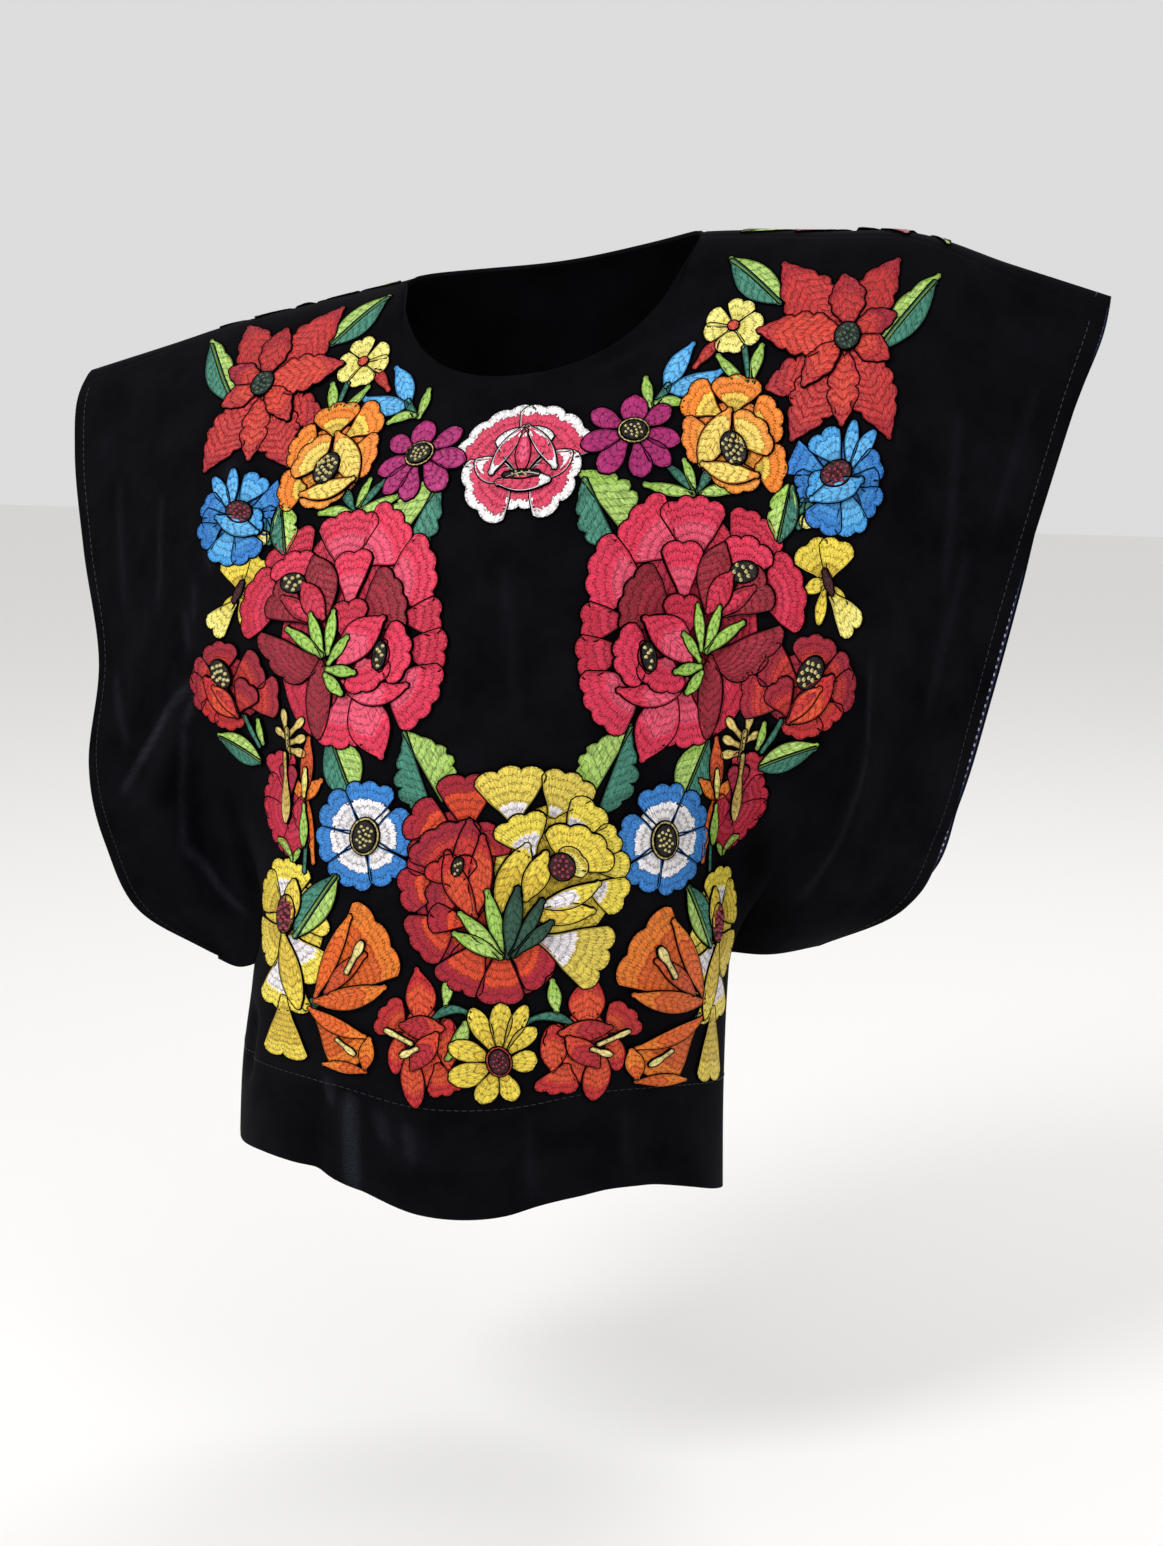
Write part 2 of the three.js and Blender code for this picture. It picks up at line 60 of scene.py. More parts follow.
# How far down the crest's shape is felt, where wings join the body, and where the hem's rise starts.
# edgeSlope is how steeply the sleeve's edge leaves the crest
drape = {
    "crestHalf": 208, "crestFelt": 160, "tiltFelt": 460, "joinFrom": 290, "joinOver": 160, "joinPower": 1.6,
    "pullFrom": 280, "pullOver": 110, "riseFrom": 440, "riseOver": 160, "cornerReach": 25,
    "edgeSlope": 0.8,
}
# Width of a pale crease mark (crushed pile and painted sheen), how near the side, the sleeve's end and
# the crest a fold fades out, and how fast large and fine folds come up at their ends, from what share
foldFade = {
    "mark": 3.2, "side": 20, "sleeve": 40, "crest": 30, "rate": 4, "from": 0.15, "fineRate": 3,
    "fineFrom": 0.5,
}
faceNames = {-1: "front", 1: "back"}


# Columns of numbers by name, from their names and rows of text
def table(names, text):
    values = np.array([row.split() for row in text.strip().splitlines()], float)
    return {name: values[:, index] for index, name in enumerate(names.split())}


# Cross-section of the body at each distance down from the crest of the shoulder
body = table("down fall turn shiftX shiftY half front back square", """
    0 0 0 0 0 150 0 0 2
    25 9 1 0 0 154 24 24 2
    60 40 2 0 0 158 50 46 2
    120 97 5 -4 -2 158 90 72 2
    190 163 8 -9 -4 152 118 84 2.1
    260 231 12 -16 -6 146 130 86 2.3
    330 300 16 -26 -8 142 126 86 2.5
    400 368 20 -34 -11 140 120 88 2.6
    460 427 23 -40 -13 141 117 91 2.6
    530 496 25 -44 -15 143 117 96 2.6
    620 585 26 -46 -16 145 119 101 2.6
""")

# Where each wing leaves the body (side) and where it ends (edge), front and back
wingNames = "down sideX sideFront sideBack edgeFrontX edgeBackX edgeZ edgeFront edgeBack sag"
wings = {
    -1: table(wingNames, """
        0 205 0 0 301 301 -70 0 0 0
        25 204 -20 20 303 300 -86 -14 12 0
        60 203 -44 42 297 292 -116 -32 22 0
        120 199 -70 60 284 280 -174 -50 34 0
        190 196 -80 66 269 268 -240 -64 42 0
        260 194 -80 64 274 266 -302 -72 44 0
        330 188 -68 54 266 262 -350 -70 40 2
        395 178 -50 40 250 240 -396 -54 24 4
        450 160 -34 30 197 197 -418 -62 -62 4
    """),
    1: table(wingNames, """
        0 208 0 0 320 320 -22 0 0 0
        25 208 -20 20 317 315 -42 -14 12 0
        60 207 -46 42 308 302 -74 -28 22 0
        120 203 -74 60 294 283 -129 -46 30 0
        190 198 -84 66 278 268 -192 -60 36 0
        260 192 -84 64 263 253 -254 -66 34 0
        330 182 -72 52 247 237 -315 -66 28 2
        395 166 -56 36 222 218 -362 -54 16 6
        450 141 -40 26 158 158 -402 14 14 4
    """),
}
shoulder = table("across height", """
    -345 -70
    -280 -58
    -215 -42
    -140 -29
    -92 -13.5
    0 2
    92 13.5
    160 10
    240 11
    290 0
    345 -22
""")
hemRise = table("across rise", """
    -215 42
    -150 50
    -100 46
    -50 25
    0 22
    50 34
    100 30
    150 15
    215 0
""")

# Largest folds, the same as in the solids: from, to, width, height (minus is a valley)
foldNames = "fromAcross fromDown toAcross toDown wide high"
folds = {
    -1: table(foldNames, """
        -226 262 -300 320 13 7
        -240 290 -268 400 15 -8
        -225 330 -236 420 11 6
        -262 170 -285 230 14 3
        232 240 240 395 20 -9
        262 250 270 400 16 5
        212 150 222 225 14 -3
        -88 530 -92 600 10 4
        -106 525 -112 600 9 -4
        12 535 14 600 16 -5
        40 540 44 600 12 3
        96 530 92 600 14 -4
        60 100 92 66 9 -3
        -186 470 -190 560 12 -5
    """),
    1: table(foldNames, """
        -226 240 -292 318 15 6
        -246 285 -262 395 16 -8
        228 236 246 392 18 -8
        266 245 274 392 15 5
        -60 250 -110 420 26 6
        0 300 -14 470 24 -5
        80 260 118 440 26 6
        -120 480 -130 600 18 5
        -30 500 -28 600 18 -5
        60 490 64 600 18 5
        140 500 146 600 16 -5
    """),
}
# Fine creases and their pale marks: as above, with how pale the mark is along the line. The paleness
# is partly crushed pile and partly painted sheen along the folds
creaseNames = "fromAcross fromDown toAcross toDown wide high mark"
creases = {
    -1: table(creaseNames, """
        -205 250 -250 262 5 0.8 0.5
        -250 262 -292 284 6 1.2 0.8
        -292 284 -312 296 5 0.8 0.5
        -214 254 -238 278 4 -1 0.7
        -238 278 -262 318 4 -1.2 0.7
        -262 318 -276 352 4 -1 0.5
        -276 352 -258 392 4 0.8 0.5
        -258 392 -240 412 4 0.8 0.4
        -190 112 -205 160 2.5 0.3 0.35
        -205 160 -204 184 2.5 0.3 0.35
        -218 190 -220 214 2.5 0.3 0.3
        -229 206 -226 232 2.5 0.3 0.3
        -252 120 -262 190 5 0.4 0.25
        -300 90 -306 170 6 0.5 0.2
        -320 210 -300 262 6 0.8 0.3
        236 252 244 300 5 -1 0.35
        244 300 252 396 6 -1.4 0.35
        272 96 290 196 5 0.5 0.2
        300 170 296 260 5 0.5 0.2
        318 60 314 150 4 0.4 0.15
        -88 532 -86 600 3 1.2 0.8
        -103 520 -100 545 3 0.6 0.5
        -56 540 -54 566 3 0.4 0.35
        -72 536 -68 560 3 0.4 0.35
        14 536 15 590 6 -0.8 0.15
        70 540 72 592 6 -0.8 0.15
        0 200 6 280 8 0.5 0.12
        48 86 74 74 4 -1.2 0.1
        -130 44 -150 26 3 0.4 0.2
    """),
    1: table(creaseNames, """
        -210 240 -286 276 5 1 0.6
        -230 270 -262 330 4 -1.2 0.6
        -262 330 -266 384 4 0.8 0.4
        214 240 262 300 5 -1 0.5
        262 300 268 390 5 1 0.4
        -290 90 -300 190 6 0.5 0.25
        300 90 296 210 6 0.5 0.25
        -40 180 -52 300 7 0.6 0.2
        50 160 66 290 7 0.6 0.2
        -96 500 -100 600 4 1 0.5
        20 520 24 600 4 0.9 0.4
        110 505 114 600 4 0.9 0.5
    """),
}


# Slopes of a smooth curve through values, from the neighbours on both sides
def slopesOf(at, values, first=None):
    gaps = np.diff(at)
    rates = np.diff(values, axis=0) / gaps.reshape((-1,) + (1,) * (values.ndim - 1))
    slopes = np.empty_like(values)
    slopes[0] = rates[0] if first is None else first
    slopes[-1] = rates[-1]
    share = (gaps[1:] / (gaps[1:] + gaps[:-1])).reshape((-1,) + (1,) * (values.ndim - 1))
    slopes[1:-1] = rates[:-1] * share + rates[1:] * (1 - share)
    return slopes


# Between two values with their slopes, t of the way over a width
def blend(t, wide, before, after, leave, enter):
    rest = 1 - t
    ends = rest * rest * (1 + 2 * t) * before + t * t * (3 - 2 * t) * after
    return ends + t * rest * wide * (rest * leave - t * enter)


# Number of the interval that holds each place
def intervalOf(at, where):
    return np.clip(np.searchsorted(at, where, side="right") - 1, 0, len(at) - 2)


def curve(at, values, where, first=None):
    slopes = slopesOf(at, values, first)
    x = np.clip(where, at[0], at[-1])
    k = intervalOf(at, x)
    wide = at[k + 1] - at[k]
    return blend((x - at[k]) / wide, wide, values[k], values[k + 1], slopes[k], slopes[k + 1])


def ease(t):
    s = np.clip(t, 0, 1)
    return s * s * (3 - 2 * s)


# Point of the squared-off oval a share of the way from its middle to its side, and the quarter's length
def ovalPoint(share, half, deep, square):
    angle = np.linspace(0, math.pi / 2, 41)[:, None]
    x = half * np.sin(angle) ** (2 / square)
    y = deep * np.clip(np.cos(angle), 0, 1) ** (2 / square)
    steps = np.hypot(np.diff(x, axis=0), np.diff(y, axis=0))
    along = np.concatenate([np.zeros((1, x.shape[1])), np.cumsum(steps, axis=0)])
    columns = range(x.shape[1])
    found = [[np.interp(share * along[-1, j], along[:, j], part[:, j]) for j in columns] for part in (x, y)]
    return np.array(found), along[-1]


# Guide columns, numbered from 0: 0 and 12 are the wings' edges, 2 and 10 are where they leave the body
guideColumns = np.array([-345, -280, -215, -160, -105, -50, 0, 50, 105, 160, 215, 280, 345], float)


# Guide points of the cloth rows at distances from the crest on one face, with slopes that have a
# corner where a wing leaves the body: arrays of column, axis, row
def guideRows(face, away):
    # Slopes at the crest, which the cloth leaves level
    first = {"fall": 0.0, "front": 1.0, "back": 1.0}
    at = {name: curve(body["down"], body[name], away, first.get(name)) for name in body if name != "down"}
    angle = np.radians(at["turn"])
    cos, sin = np.cos(angle), np.sin(angle)
    faceName = faceNames[face].title()
    deep = at[faceNames[face]]
    straight = 1 - ease(away / drape["crestFelt"])
    joined = np.clip((away - drape["joinFrom"]) / drape["joinOver"], 0, 1) ** drape["joinPower"]
    pull = 1 - ease((away - drape["pullFrom"]) / drape["pullOver"])
    points = np.empty((len(guideColumns), 3, len(away)))
    for k, across in enumerate(guideColumns):
        side = 1.0 if across > 0 else -1.0
        reach = abs(across)
        wing = wings[int(side)]
        lift = curve(shoulder["across"], shoulder["height"], across)
        height = lift * np.clip(1 - away / drape["tiltFelt"], 0, None) - at["fall"]

        def turned(x, y):
            return np.array([at["shiftX"] + x * cos - y * sin, at["shiftY"] + x * sin + y * cos, height])

        if reach < cloth["bodyHalf"]:
            (x, y), _ = ovalPoint(reach / cloth["bodyHalf"], at["half"], deep, at["square"])
            x = x * (1 - straight) + reach * drape["crestHalf"] / cloth["bodyHalf"] * straight
            y = y * (1 - straight) + deep * straight
            points[k] = turned(x * side, y * face)
        elif reach == cloth["bodyHalf"]:
            sideY = curve(wing["down"], wing["side" + faceName], away, float(face))
            free = np.array([side * curve(wing["down"], wing["sideX"], away), sideY, height])
            points[k] = free * (1 - joined) + turned(side * at["half"], 0 * cos) * joined
        else:
            edgeX = curve(wing["down"], wing[f"edge{faceName}X"], away)
            edgeY = curve(wing["down"], wing["edge" + faceName], away, drape["edgeSlope"] * face)
            points[k] = [side * edgeX, edgeY, curve(wing["down"], wing["edgeZ"], away)]
    # The column inside each join is pulled toward its neighbours, and the one outside it sags
    for middle, inner, outer in ((9, 8, 10), (3, 4, 2)):
        points[middle] = points[middle] * (1 - pull) + (points[inner] + points[outer]) / 2 * pull
    for middle, inner, outer, side in ((11, 10, 12, 1), (1, 2, 0, -1)):
        points[middle] = (points[inner] + points[outer]) / 2
        points[middle, 2] -= curve(wings[side]["down"], wings[side]["sag"], away)
    _, quarter = ovalPoint(0, at["half"], deep, at["square"])
    around = np.array([sin, -cos, 0 * cos]) * face * quarter / cloth["bodyHalf"]
    slopes = slopesOf(guideColumns, points)
    leave, enter = slopes.copy(), slopes.copy()
    wide = guideColumns[11] - guideColumns[10]
    enter[10] = slopes[10] * (1 - joined) + around * joined
    leave[10] = slopes[10] * (1 - joined) + (points[11] - points[10]) / wide * joined
    leave[2] = slopes[2] * (1 - joined) - around * joined
    enter[2] = slopes[2] * (1 - joined) + (points[2] - points[1]) / wide * joined
    return points, leave, enter


# Points of the cloth without folds on a grid of across by down, as down, across, axis
def smoothGrid(face, across, down):
    past = down - face * cloth["seamForward"] * (1 - ease(down / drape["crestFelt"]))
    grid = np.empty((len(down), len(across), 3))
    k = intervalOf(guideColumns, across)
    wide = (guideColumns[k + 1] - guideColumns[k])[:, None, None]
    t = (across - guideColumns[k])[:, None, None] / wide
    for side in (face, -face):
        chosen = (past >= 0) if side == face else (past < 0)
        if not chosen.any():
            continue
        points, leave, enter = guideRows(side, np.abs(past[chosen]))
        row = blend(t, wide, points[k], points[k + 1], leave[k], enter[k + 1])
        grid[chosen] = row.transpose(2, 0, 1)
    rise = curve(hemRise["across"], hemRise["rise"], across)
    grid[:, :, 2] += rise[None, :] * ease((down - drape["riseFrom"]) / drape["riseOver"])[:, None]
    toCorner = np.hypot(np.abs(across)[None, :] - cloth["bodyHalf"], down[:, None] - cloth["sleeveDepth"])
    corner = cloth["cornerGap"] * (1 - ease(toCorner / drape["cornerReach"]))
    grid[:, :, 1] += face * (cloth["seamGap"] / 2 + corner)
    return grid


# Chart of each face: a grid every few millimetres, its rows past the sleeves and its body's columns
chartStep = 2.5
chartAcross = np.arange(-cloth["halfSpan"], cloth["halfSpan"] + 0.1, chartStep)
chartDown = np.arange(0, cloth["bodyLength"] + 0.1, chartStep)
bodyFirst = int(round((cloth["halfSpan"] - cloth["bodyHalf"]) / chartStep))
bodyLast = int(round((cloth["halfSpan"] + cloth["bodyHalf"]) / chartStep))
lowRow = int(round(cloth["sleeveDepth"] / chartStep)) + 1


# Outward direction at every point of a chart; below the sleeves it stays within the body
def gridNormals(grid, face):
    alongRow = np.gradient(grid, axis=1)
    alongRow[lowRow:, bodyFirst] = grid[lowRow:, bodyFirst + 1] - grid[lowRow:, bodyFirst]
    alongRow[lowRow:, bodyLast] = grid[lowRow:, bodyLast] - grid[lowRow:, bodyLast - 1]
    normals = np.cross(np.gradient(grid, axis=0), alongRow) * (-face)
    return normals / np.maximum(np.linalg.norm(normals, axis=2, keepdims=True), 1e-9)


# Height of a table of folds over a grid, and how strongly their pale marks show: crushed pile and painted
# sheen
def foldField(rows, across, down, large):
    u, v = np.meshgrid(across, down)
    height = np.zeros_like(u)
    mark = np.zeros_like(u)
    for i in range(len(rows["wide"])):
        start = np.array([rows["fromAcross"][i], rows["fromDown"][i]])
        line = np.array([rows["toAcross"][i], rows["toDown"][i]]) - start
        t = np.clip(((u - start[0]) * line[0] + (v - start[1]) * line[1]) / (line @ line), 0, 1)
        distance = np.hypot(u - start[0] - t * line[0], v - start[1] - t * line[1])
        if large:
            atEnd = 1.0 if rows["toDown"][i] >= cloth["bodyLength"] else ease((1 - t) * foldFade["rate"])
            fade = ease(t * foldFade["rate"] + foldFade["from"]) * atEnd
        else:
            ups = [ease(share * foldFade["fineRate"] + foldFade["fineFrom"]) for share in (t, 1 - t)]
            fade = ups[0] * ups[1]
        height += rows["high"][i] * np.exp(-((distance / rows["wide"][i]) ** 2)) * fade
        if "mark" in rows:
            mark = np.maximum(mark, rows["mark"][i] * np.exp(-((distance / foldFade["mark"]) ** 2)) * fade)
    toSide = np.where(v > cloth["sleeveDepth"], ease((cloth["bodyHalf"] - np.abs(u)) / foldFade["side"]), 1)
    toArm = np.where(np.abs(u) > cloth["bodyHalf"], ease((cloth["sleeveDepth"] - v) / foldFade["sleeve"]), 1)
    return height * toSide * toArm * ease(v / foldFade["crest"]), mark


charts = {}
for face in faceNames:
    grid = smoothGrid(face, chartAcross, chartDown)
    for rows, large in ((folds[face], True), (creases[face], False)):
        height, mark = foldField(rows, chartAcross, chartDown, large)
        grid += gridNormals(grid, face) * height[:, :, None]
    charts[face] = {"point": grid, "normal": gridNormals(grid, face), "mark": mark}
print("charts of both faces made")


# Values of a face's chart at cloth places
def onChart(face, name, across, down):
    values = charts[face][name]
    x = np.clip((np.asarray(across, float) + cloth["halfSpan"]) / chartStep, 0, len(chartAcross) - 1.0001)
    y = np.clip(np.asarray(down, float) / chartStep, 0, len(chartDown) - 1.0001)
    i, j = y.astype(int), x.astype(int)
    s, t = x - j, y - i
    if values.ndim == 3:
        s, t = s[..., None], t[..., None]
    upper = values[i, j] * (1 - s) + values[i, j + 1] * s
    lower = values[i + 1, j] * (1 - s) + values[i + 1, j + 1] * s
    return upper * (1 - t) + lower * t


# Points in metres at cloth places, lifted outward by a height in millimetres
def onCloth(face, across, down, lift=0.0):
    normal = onChart(face, "normal", across, down)
    normal = normal / np.maximum(np.linalg.norm(normal, axis=-1, keepdims=True), 1e-9)
    return (onChart(face, "point", across, down) + normal * np.asarray(lift, float)[..., None]) / 1000


def neckLine(face, across):
    share = np.clip(np.abs(across) / cloth["neckHalf"], 0, 1)
    return cloth["neckDrop" + faceNames[face].title()] * np.sqrt(1 - share ** 2.5)


# sRGB hex to the linear colour that Blender works in
def colour(text, share=1.0):
    parts = [int(text[i:i + 2], 16) / 255 for i in (1, 3, 5)]
    linear = [c / 12.92 if c <= 0.04045 else ((c + 0.055) / 1.055) ** 2.4 for c in parts]
    return (*[c * share for c in linear], 1.0)


# Sets a node's options, socket values and sources by name. A node as the source stands for its first
# output, and "range" gives the limits of a MapRange
def setNode(tree, node, settings):
    for name, value in settings.items():
        if name == "range":
            for index, limit in enumerate(value, 1):
                node.inputs[index].default_value = limit
        elif isinstance(value, bpy.types.Node):
            tree.links.new(value.outputs[0], node.inputs[name])
        elif isinstance(value, bpy.types.NodeSocket):
            tree.links.new(value, node.inputs[name])
        elif isinstance(name, str) and hasattr(node, name):
            setattr(node, name, value)
        else:
            node.inputs[name].default_value = value
    return node


def addNode(tree, kind, settings):
    return setNode(tree, tree.nodes.new("ShaderNode" + kind), settings)


def newMaterial(name):
    material = bpy.data.materials.new(name)
    material.use_nodes = True
    return material, material.node_tree, material.node_tree.nodes["Principled BSDF"]


# A mesh object in metres from points and faces, with its UV map and values or colours at its points
def meshPiece(name, points, faces, uv=None, values=None):
    mesh = bpy.data.meshes.new(name)
    mesh.from_pydata(np.asarray(points).tolist(), [], faces)
    corners = np.empty(len(mesh.loops), int)
    mesh.loops.foreach_get("vertex_index", corners)
    if uv is not None:
        layer = mesh.uv_layers.new(name="cloth")
        layer.data.foreach_set("uv", np.asarray(uv, np.float32)[corners].ravel())
    for key, value in (values or {}).items():
        kind, field = ("FLOAT", "value") if value.ndim == 1 else ("FLOAT_COLOR", "color")
        mesh.attributes.new(key, kind, "POINT").data.foreach_set(field, value.astype(np.float32).ravel())
    mesh.shade_smooth()
    piece = bpy.data.objects.new(name, mesh)
    bpy.context.collection.objects.link(piece)
    return piece


def dress(piece, material):
    piece.data.materials.append(material)
    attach(piece, "root")


# Rounds the edges of a shell
def bevelled(piece, width):
    bpy.ops.object.select_all(action="DESELECT")
    bpy.context.view_layer.objects.active = piece
    piece.select_set(True)
    modifier = piece.modifiers.new("bevel", "BEVEL")
    modifier.width = width
    modifier.segments = 2
    modifier.limit_method = "ANGLE"
    modifier.angle_limit = math.radians(50)
    bpy.ops.object.modifier_apply(modifier=modifier.name)
    piece.select_set(False)
    return piece


# Closed shell between two grids of points over the cells that belong to the cloth
def shellFaces(rows, columns, hasCell, flip):
    count = rows * columns
    i, j = np.nonzero(hasCell)
    a, b = i * columns + j, (i + 1) * columns + j
    outer = np.stack([a, b, b + 1, a + 1], axis=1)
    padded = np.zeros((rows + 1, columns + 1), bool)
    padded[1:-1, 1:-1] = hasCell
    rims = []
    for side, (di, dj) in enumerate([(0, -1), (1, 0), (0, 1), (-1, 0)]):
        isEdge = ~padded[i + 1 + di, j + 1 + dj]
        start, end = outer[isEdge, side], outer[isEdge, (side + 1) % 4]
        rims.append(np.stack([end, start, start + count, end + count], axis=1))
    faces = np.concatenate([outer, outer[:, ::-1] + count] + rims)
    return faces[:, ::-1] if flip else faces


# Black velvet: cut pile, cotton or rayon back. Swallows light, with a faint cool bloom at grazing
# angles, paler along the creases, where the pile is crushed and where sheen is painted into the colour, and a
# little lint
velvetLook = {
    "pile": "#050406", "crushedPileAndSheen": "#2a2c34", "bloom": "#8a90a6", "roughness": 0.95, "sheen": 0.018,
    "napScale": 22.0, "tuftScale": 900.0, "lintScale": 42.0, "lintAbove": 0.93,
}
velvet, tree, shader = newMaterial("blackVelvet")
place = addNode(tree, "UVMap", {"uv_map": "cloth"})
nap = addNode(tree, "TexNoise", {
    "Vector": place, "Scale": velvetLook["napScale"], "Detail": 4.0, "Roughness": 0.6,
})
napShade = addNode(tree, "MapRange", {"Value": nap, "range": (0.35, 0.7, 0.0, 0.12)})
tuft = addNode(tree, "TexNoise", {"Vector": place, "Scale": velvetLook["tuftScale"], "Detail": 2.0})
lint = addNode(tree, "TexVoronoi", {"Vector": place, "Scale": velvetLook["lintScale"], "Randomness": 1.0})
lintSpot = addNode(tree, "MapRange", {"Value": lint, "range": (0.012, 0.03, 1.0, 0.0)})
lintSome = addNode(tree, "Math", {
    "operation": "GREATER_THAN", 0: lint.outputs["Color"], 1: velvetLook["lintAbove"],
})
lintShown = addNode(tree, "Math", {"operation": "MULTIPLY", 0: lintSpot, 1: lintSome})
# Pale marks along the creases, kept on the vertices: partly crushed pile, partly painted sheen along the folds
mark = addNode(tree, "Attribute", {"attribute_name": "pileMark"}).outputs["Fac"]
markBroken = addNode(tree, "MapRange", {"Value": tuft, "range": (0.35, 0.62, 0.35, 1.0)})
markShown = addNode(tree, "Math", {"operation": "MULTIPLY", 0: mark, 1: markBroken})
paler = addNode(tree, "Math", {"operation": "ADD", "use_clamp": True, 0: napShade, 1: markShown})
palest = addNode(tree, "Math", {"operation": "ADD", "use_clamp": True, 0: paler, 1: lintShown})
# Base colour: near-black pile, lightened toward a pale blue-grey by nap, lint and the crease marks with their
# painted sheen
pile = addNode(tree, "Mix", {
    "data_type": "RGBA", 0: palest, 6: colour(velvetLook["pile"]), 7: colour(velvetLook["crushedPileAndSheen"]),
})
setNode(tree, shader, {
    "Base Color": pile.outputs[2], "Roughness": velvetLook["roughness"], "Specular IOR Level": 0.04,
    "Sheen Weight": velvetLook["sheen"], "Sheen Roughness": 0.35, "Sheen Tint": colour(velvetLook["bloom"]),
    "Normal": addNode(tree, "Bump", {"Height": tuft, "Strength": 0.25, "Distance": 0.0006}),
})

# Printed cotton: navy plain weave with white dots in staggered rows, matt, with a fine thread grain
dotLook = {"ground": "#1a2450", "dot": "#e9e8e6", "pitch": 0.0052, "radius": 0.0011, "thread": 0.00035}
dotCotton, tree, shader = newMaterial("dottedCotton")
place = addNode(tree, "UVMap", {"uv_map": "cloth"})
toDots = []
for shift in (0.0, 0.5):
    scaled = addNode(tree, "Mapping", {
        "Vector": place, "Scale": [1 / dotLook["pitch"]] * 3, "Location": [shift, shift, 0],
    })
    cell = addNode(tree, "VectorMath", {"operation": "FRACTION", 0: scaled})
    reach = addNode(tree, "VectorMath", {"operation": "DISTANCE", 0: cell, 1: [0.5, 0.5, 0.0]})
    toDots.append(reach.outputs["Value"])
nearest = addNode(tree, "Math", {"operation": "MINIMUM", 0: toDots[0], 1: toDots[1]})
edge = dotLook["radius"] / dotLook["pitch"]
inDot = addNode(tree, "MapRange", {"Value": nearest, "range": (edge * 0.9, edge * 1.1, 1.0, 0.0)})
printed = addNode(tree, "Mix", {
    "data_type": "RGBA", 0: inDot, 6: colour(dotLook["ground"]), 7: colour(dotLook["dot"]),
})
weave = addNode(tree, "TexNoise", {"Vector": place, "Scale": 1 / dotLook["thread"] / 4, "Detail": 1.0})
setNode(tree, shader, {
    "Base Color": printed.outputs[2], "Roughness": 0.85, "Specular IOR Level": 0.3,
    "Normal": addNode(tree, "Bump", {"Height": weave, "Strength": 0.3, "Distance": 0.0003}),
})
print("velvet and dotted cotton made")

# Panels: cells across neck, body and wing of one half, and down sleeve and lower body. Rows bend
# with the neck line down to warpSpan, and hemStep and neckStep are the way over which the wall thickens
panelCells = {
    "neck": 26, "body": 32, "wing": 34, "sleeve": 112, "lower": 38, "warpSpan": 164.0, "edgeRound": 0.0006,
    "hemStep": 4, "neckStep": 2.5,
}


def panelPiece(face, name):
    half = np.concatenate([
        np.linspace(0, cloth["neckHalf"], panelCells["neck"] + 1),
        np.linspace(cloth["neckHalf"], cloth["bodyHalf"], panelCells["body"] + 1)[1:],
        np.linspace(cloth["bodyHalf"], cloth["halfSpan"], panelCells["wing"] + 1)[1:],
    ])
    across = np.concatenate([-half[:0:-1], half])
    rows = np.concatenate([
        np.linspace(0, cloth["sleeveDepth"], panelCells["sleeve"] + 1),
        np.linspace(cloth["sleeveDepth"], cloth["bodyLength"], panelCells["lower"] + 1)[1:],
    ])
    span = panelCells["warpSpan"]
    top = neckLine(face, across)
    down = np.where(rows[:, None] < span, top + rows[:, None] * (span - top) / span, rows[:, None])
    u = np.broadcast_to(across, down.shape)
    toNeck = np.where(np.abs(u) < cloth["neckHalf"], down - top, math.inf)
    hemTop = cloth["bodyLength"] - cloth["hemDepth"]
    hem = cloth["hemExtra"] * ease((down - hemTop + 2) / panelCells["hemStep"])
    neck = cloth["neckExtra"] * (1 - ease((toNeck - cloth["neckTurn"]) / panelCells["neckStep"]))
    outer = onCloth(face, u, down, cloth["thick"] + neck)
    inner = onCloth(face, u, down, -hem)
    reach = np.maximum(np.abs(across[:-1]), np.abs(across[1:]))
    hasCell = (rows[1:, None] <= cloth["sleeveDepth"] + 0.01) | (reach[None, :] <= cloth["bodyHalf"] + 0.01)
    faces = shellFaces(len(rows), len(across), hasCell, face > 0)
    points = np.concatenate([outer.reshape(-1, 3), inner.reshape(-1, 3)])
    uv = np.tile(np.stack([u.ravel(), down.ravel()], axis=1) / 1000, (2, 1))
    markHere = np.tile(onChart(face, "mark", u, down).ravel(), 2)
    used = np.zeros(len(points), bool)
    used[faces.ravel()] = True
    renumber = np.cumsum(used) - 1
    piece = meshPiece(name, points[used], renumber[faces].tolist(), uv[used], {"pileMark": markHere[used]})
    return bevelled(piece, panelCells["edgeRound"])


# Sleeve facing: dotted strip just inside one sleeve opening, from the underarm over the shoulder
facingSizes = {
    "wide": 36.0, "thick": 1.2, "gap": 0.35, "end": 436.0, "edge": 0.4, "cellsWide": 12, "cellsLong": 240,
    "edgeRound": 0.0004,
}


def facingPiece(side, name):
    near, far = (cloth["halfSpan"] - facingSizes[part] for part in ("wide", "edge"))
    across = side * np.linspace(near, far, facingSizes["cellsWide"] + 1)
    run = np.linspace(-facingSizes["end"], facingSizes["end"], facingSizes["cellsLong"] + 1)
    layers = []
    for depth in (facingSizes["gap"] + facingSizes["thick"], facingSizes["gap"]):
        front = onCloth(-1, *np.meshgrid(across, -run[run < -0.01]), -depth)
        back = onCloth(1, *np.meshgrid(across, run[run > 0.01]), -depth)
        crest = (onCloth(-1, across, 0 * across, -depth) + onCloth(1, across, 0 * across, -depth)) / 2
        layers.append(np.concatenate([front, crest[None], back]).reshape(-1, 3))
    cells = np.ones((len(run) - 1, len(across) - 1), bool)
    faces = shellFaces(len(run), len(across), cells, side > 0)
    u, v = np.meshgrid(across, run)
    uv = np.tile(np.stack([u.ravel(), v.ravel()], axis=1) / 1000, (2, 1))
    return bevelled(meshPiece(name, np.concatenate(layers), faces.tolist(), uv), facingSizes["edgeRound"])


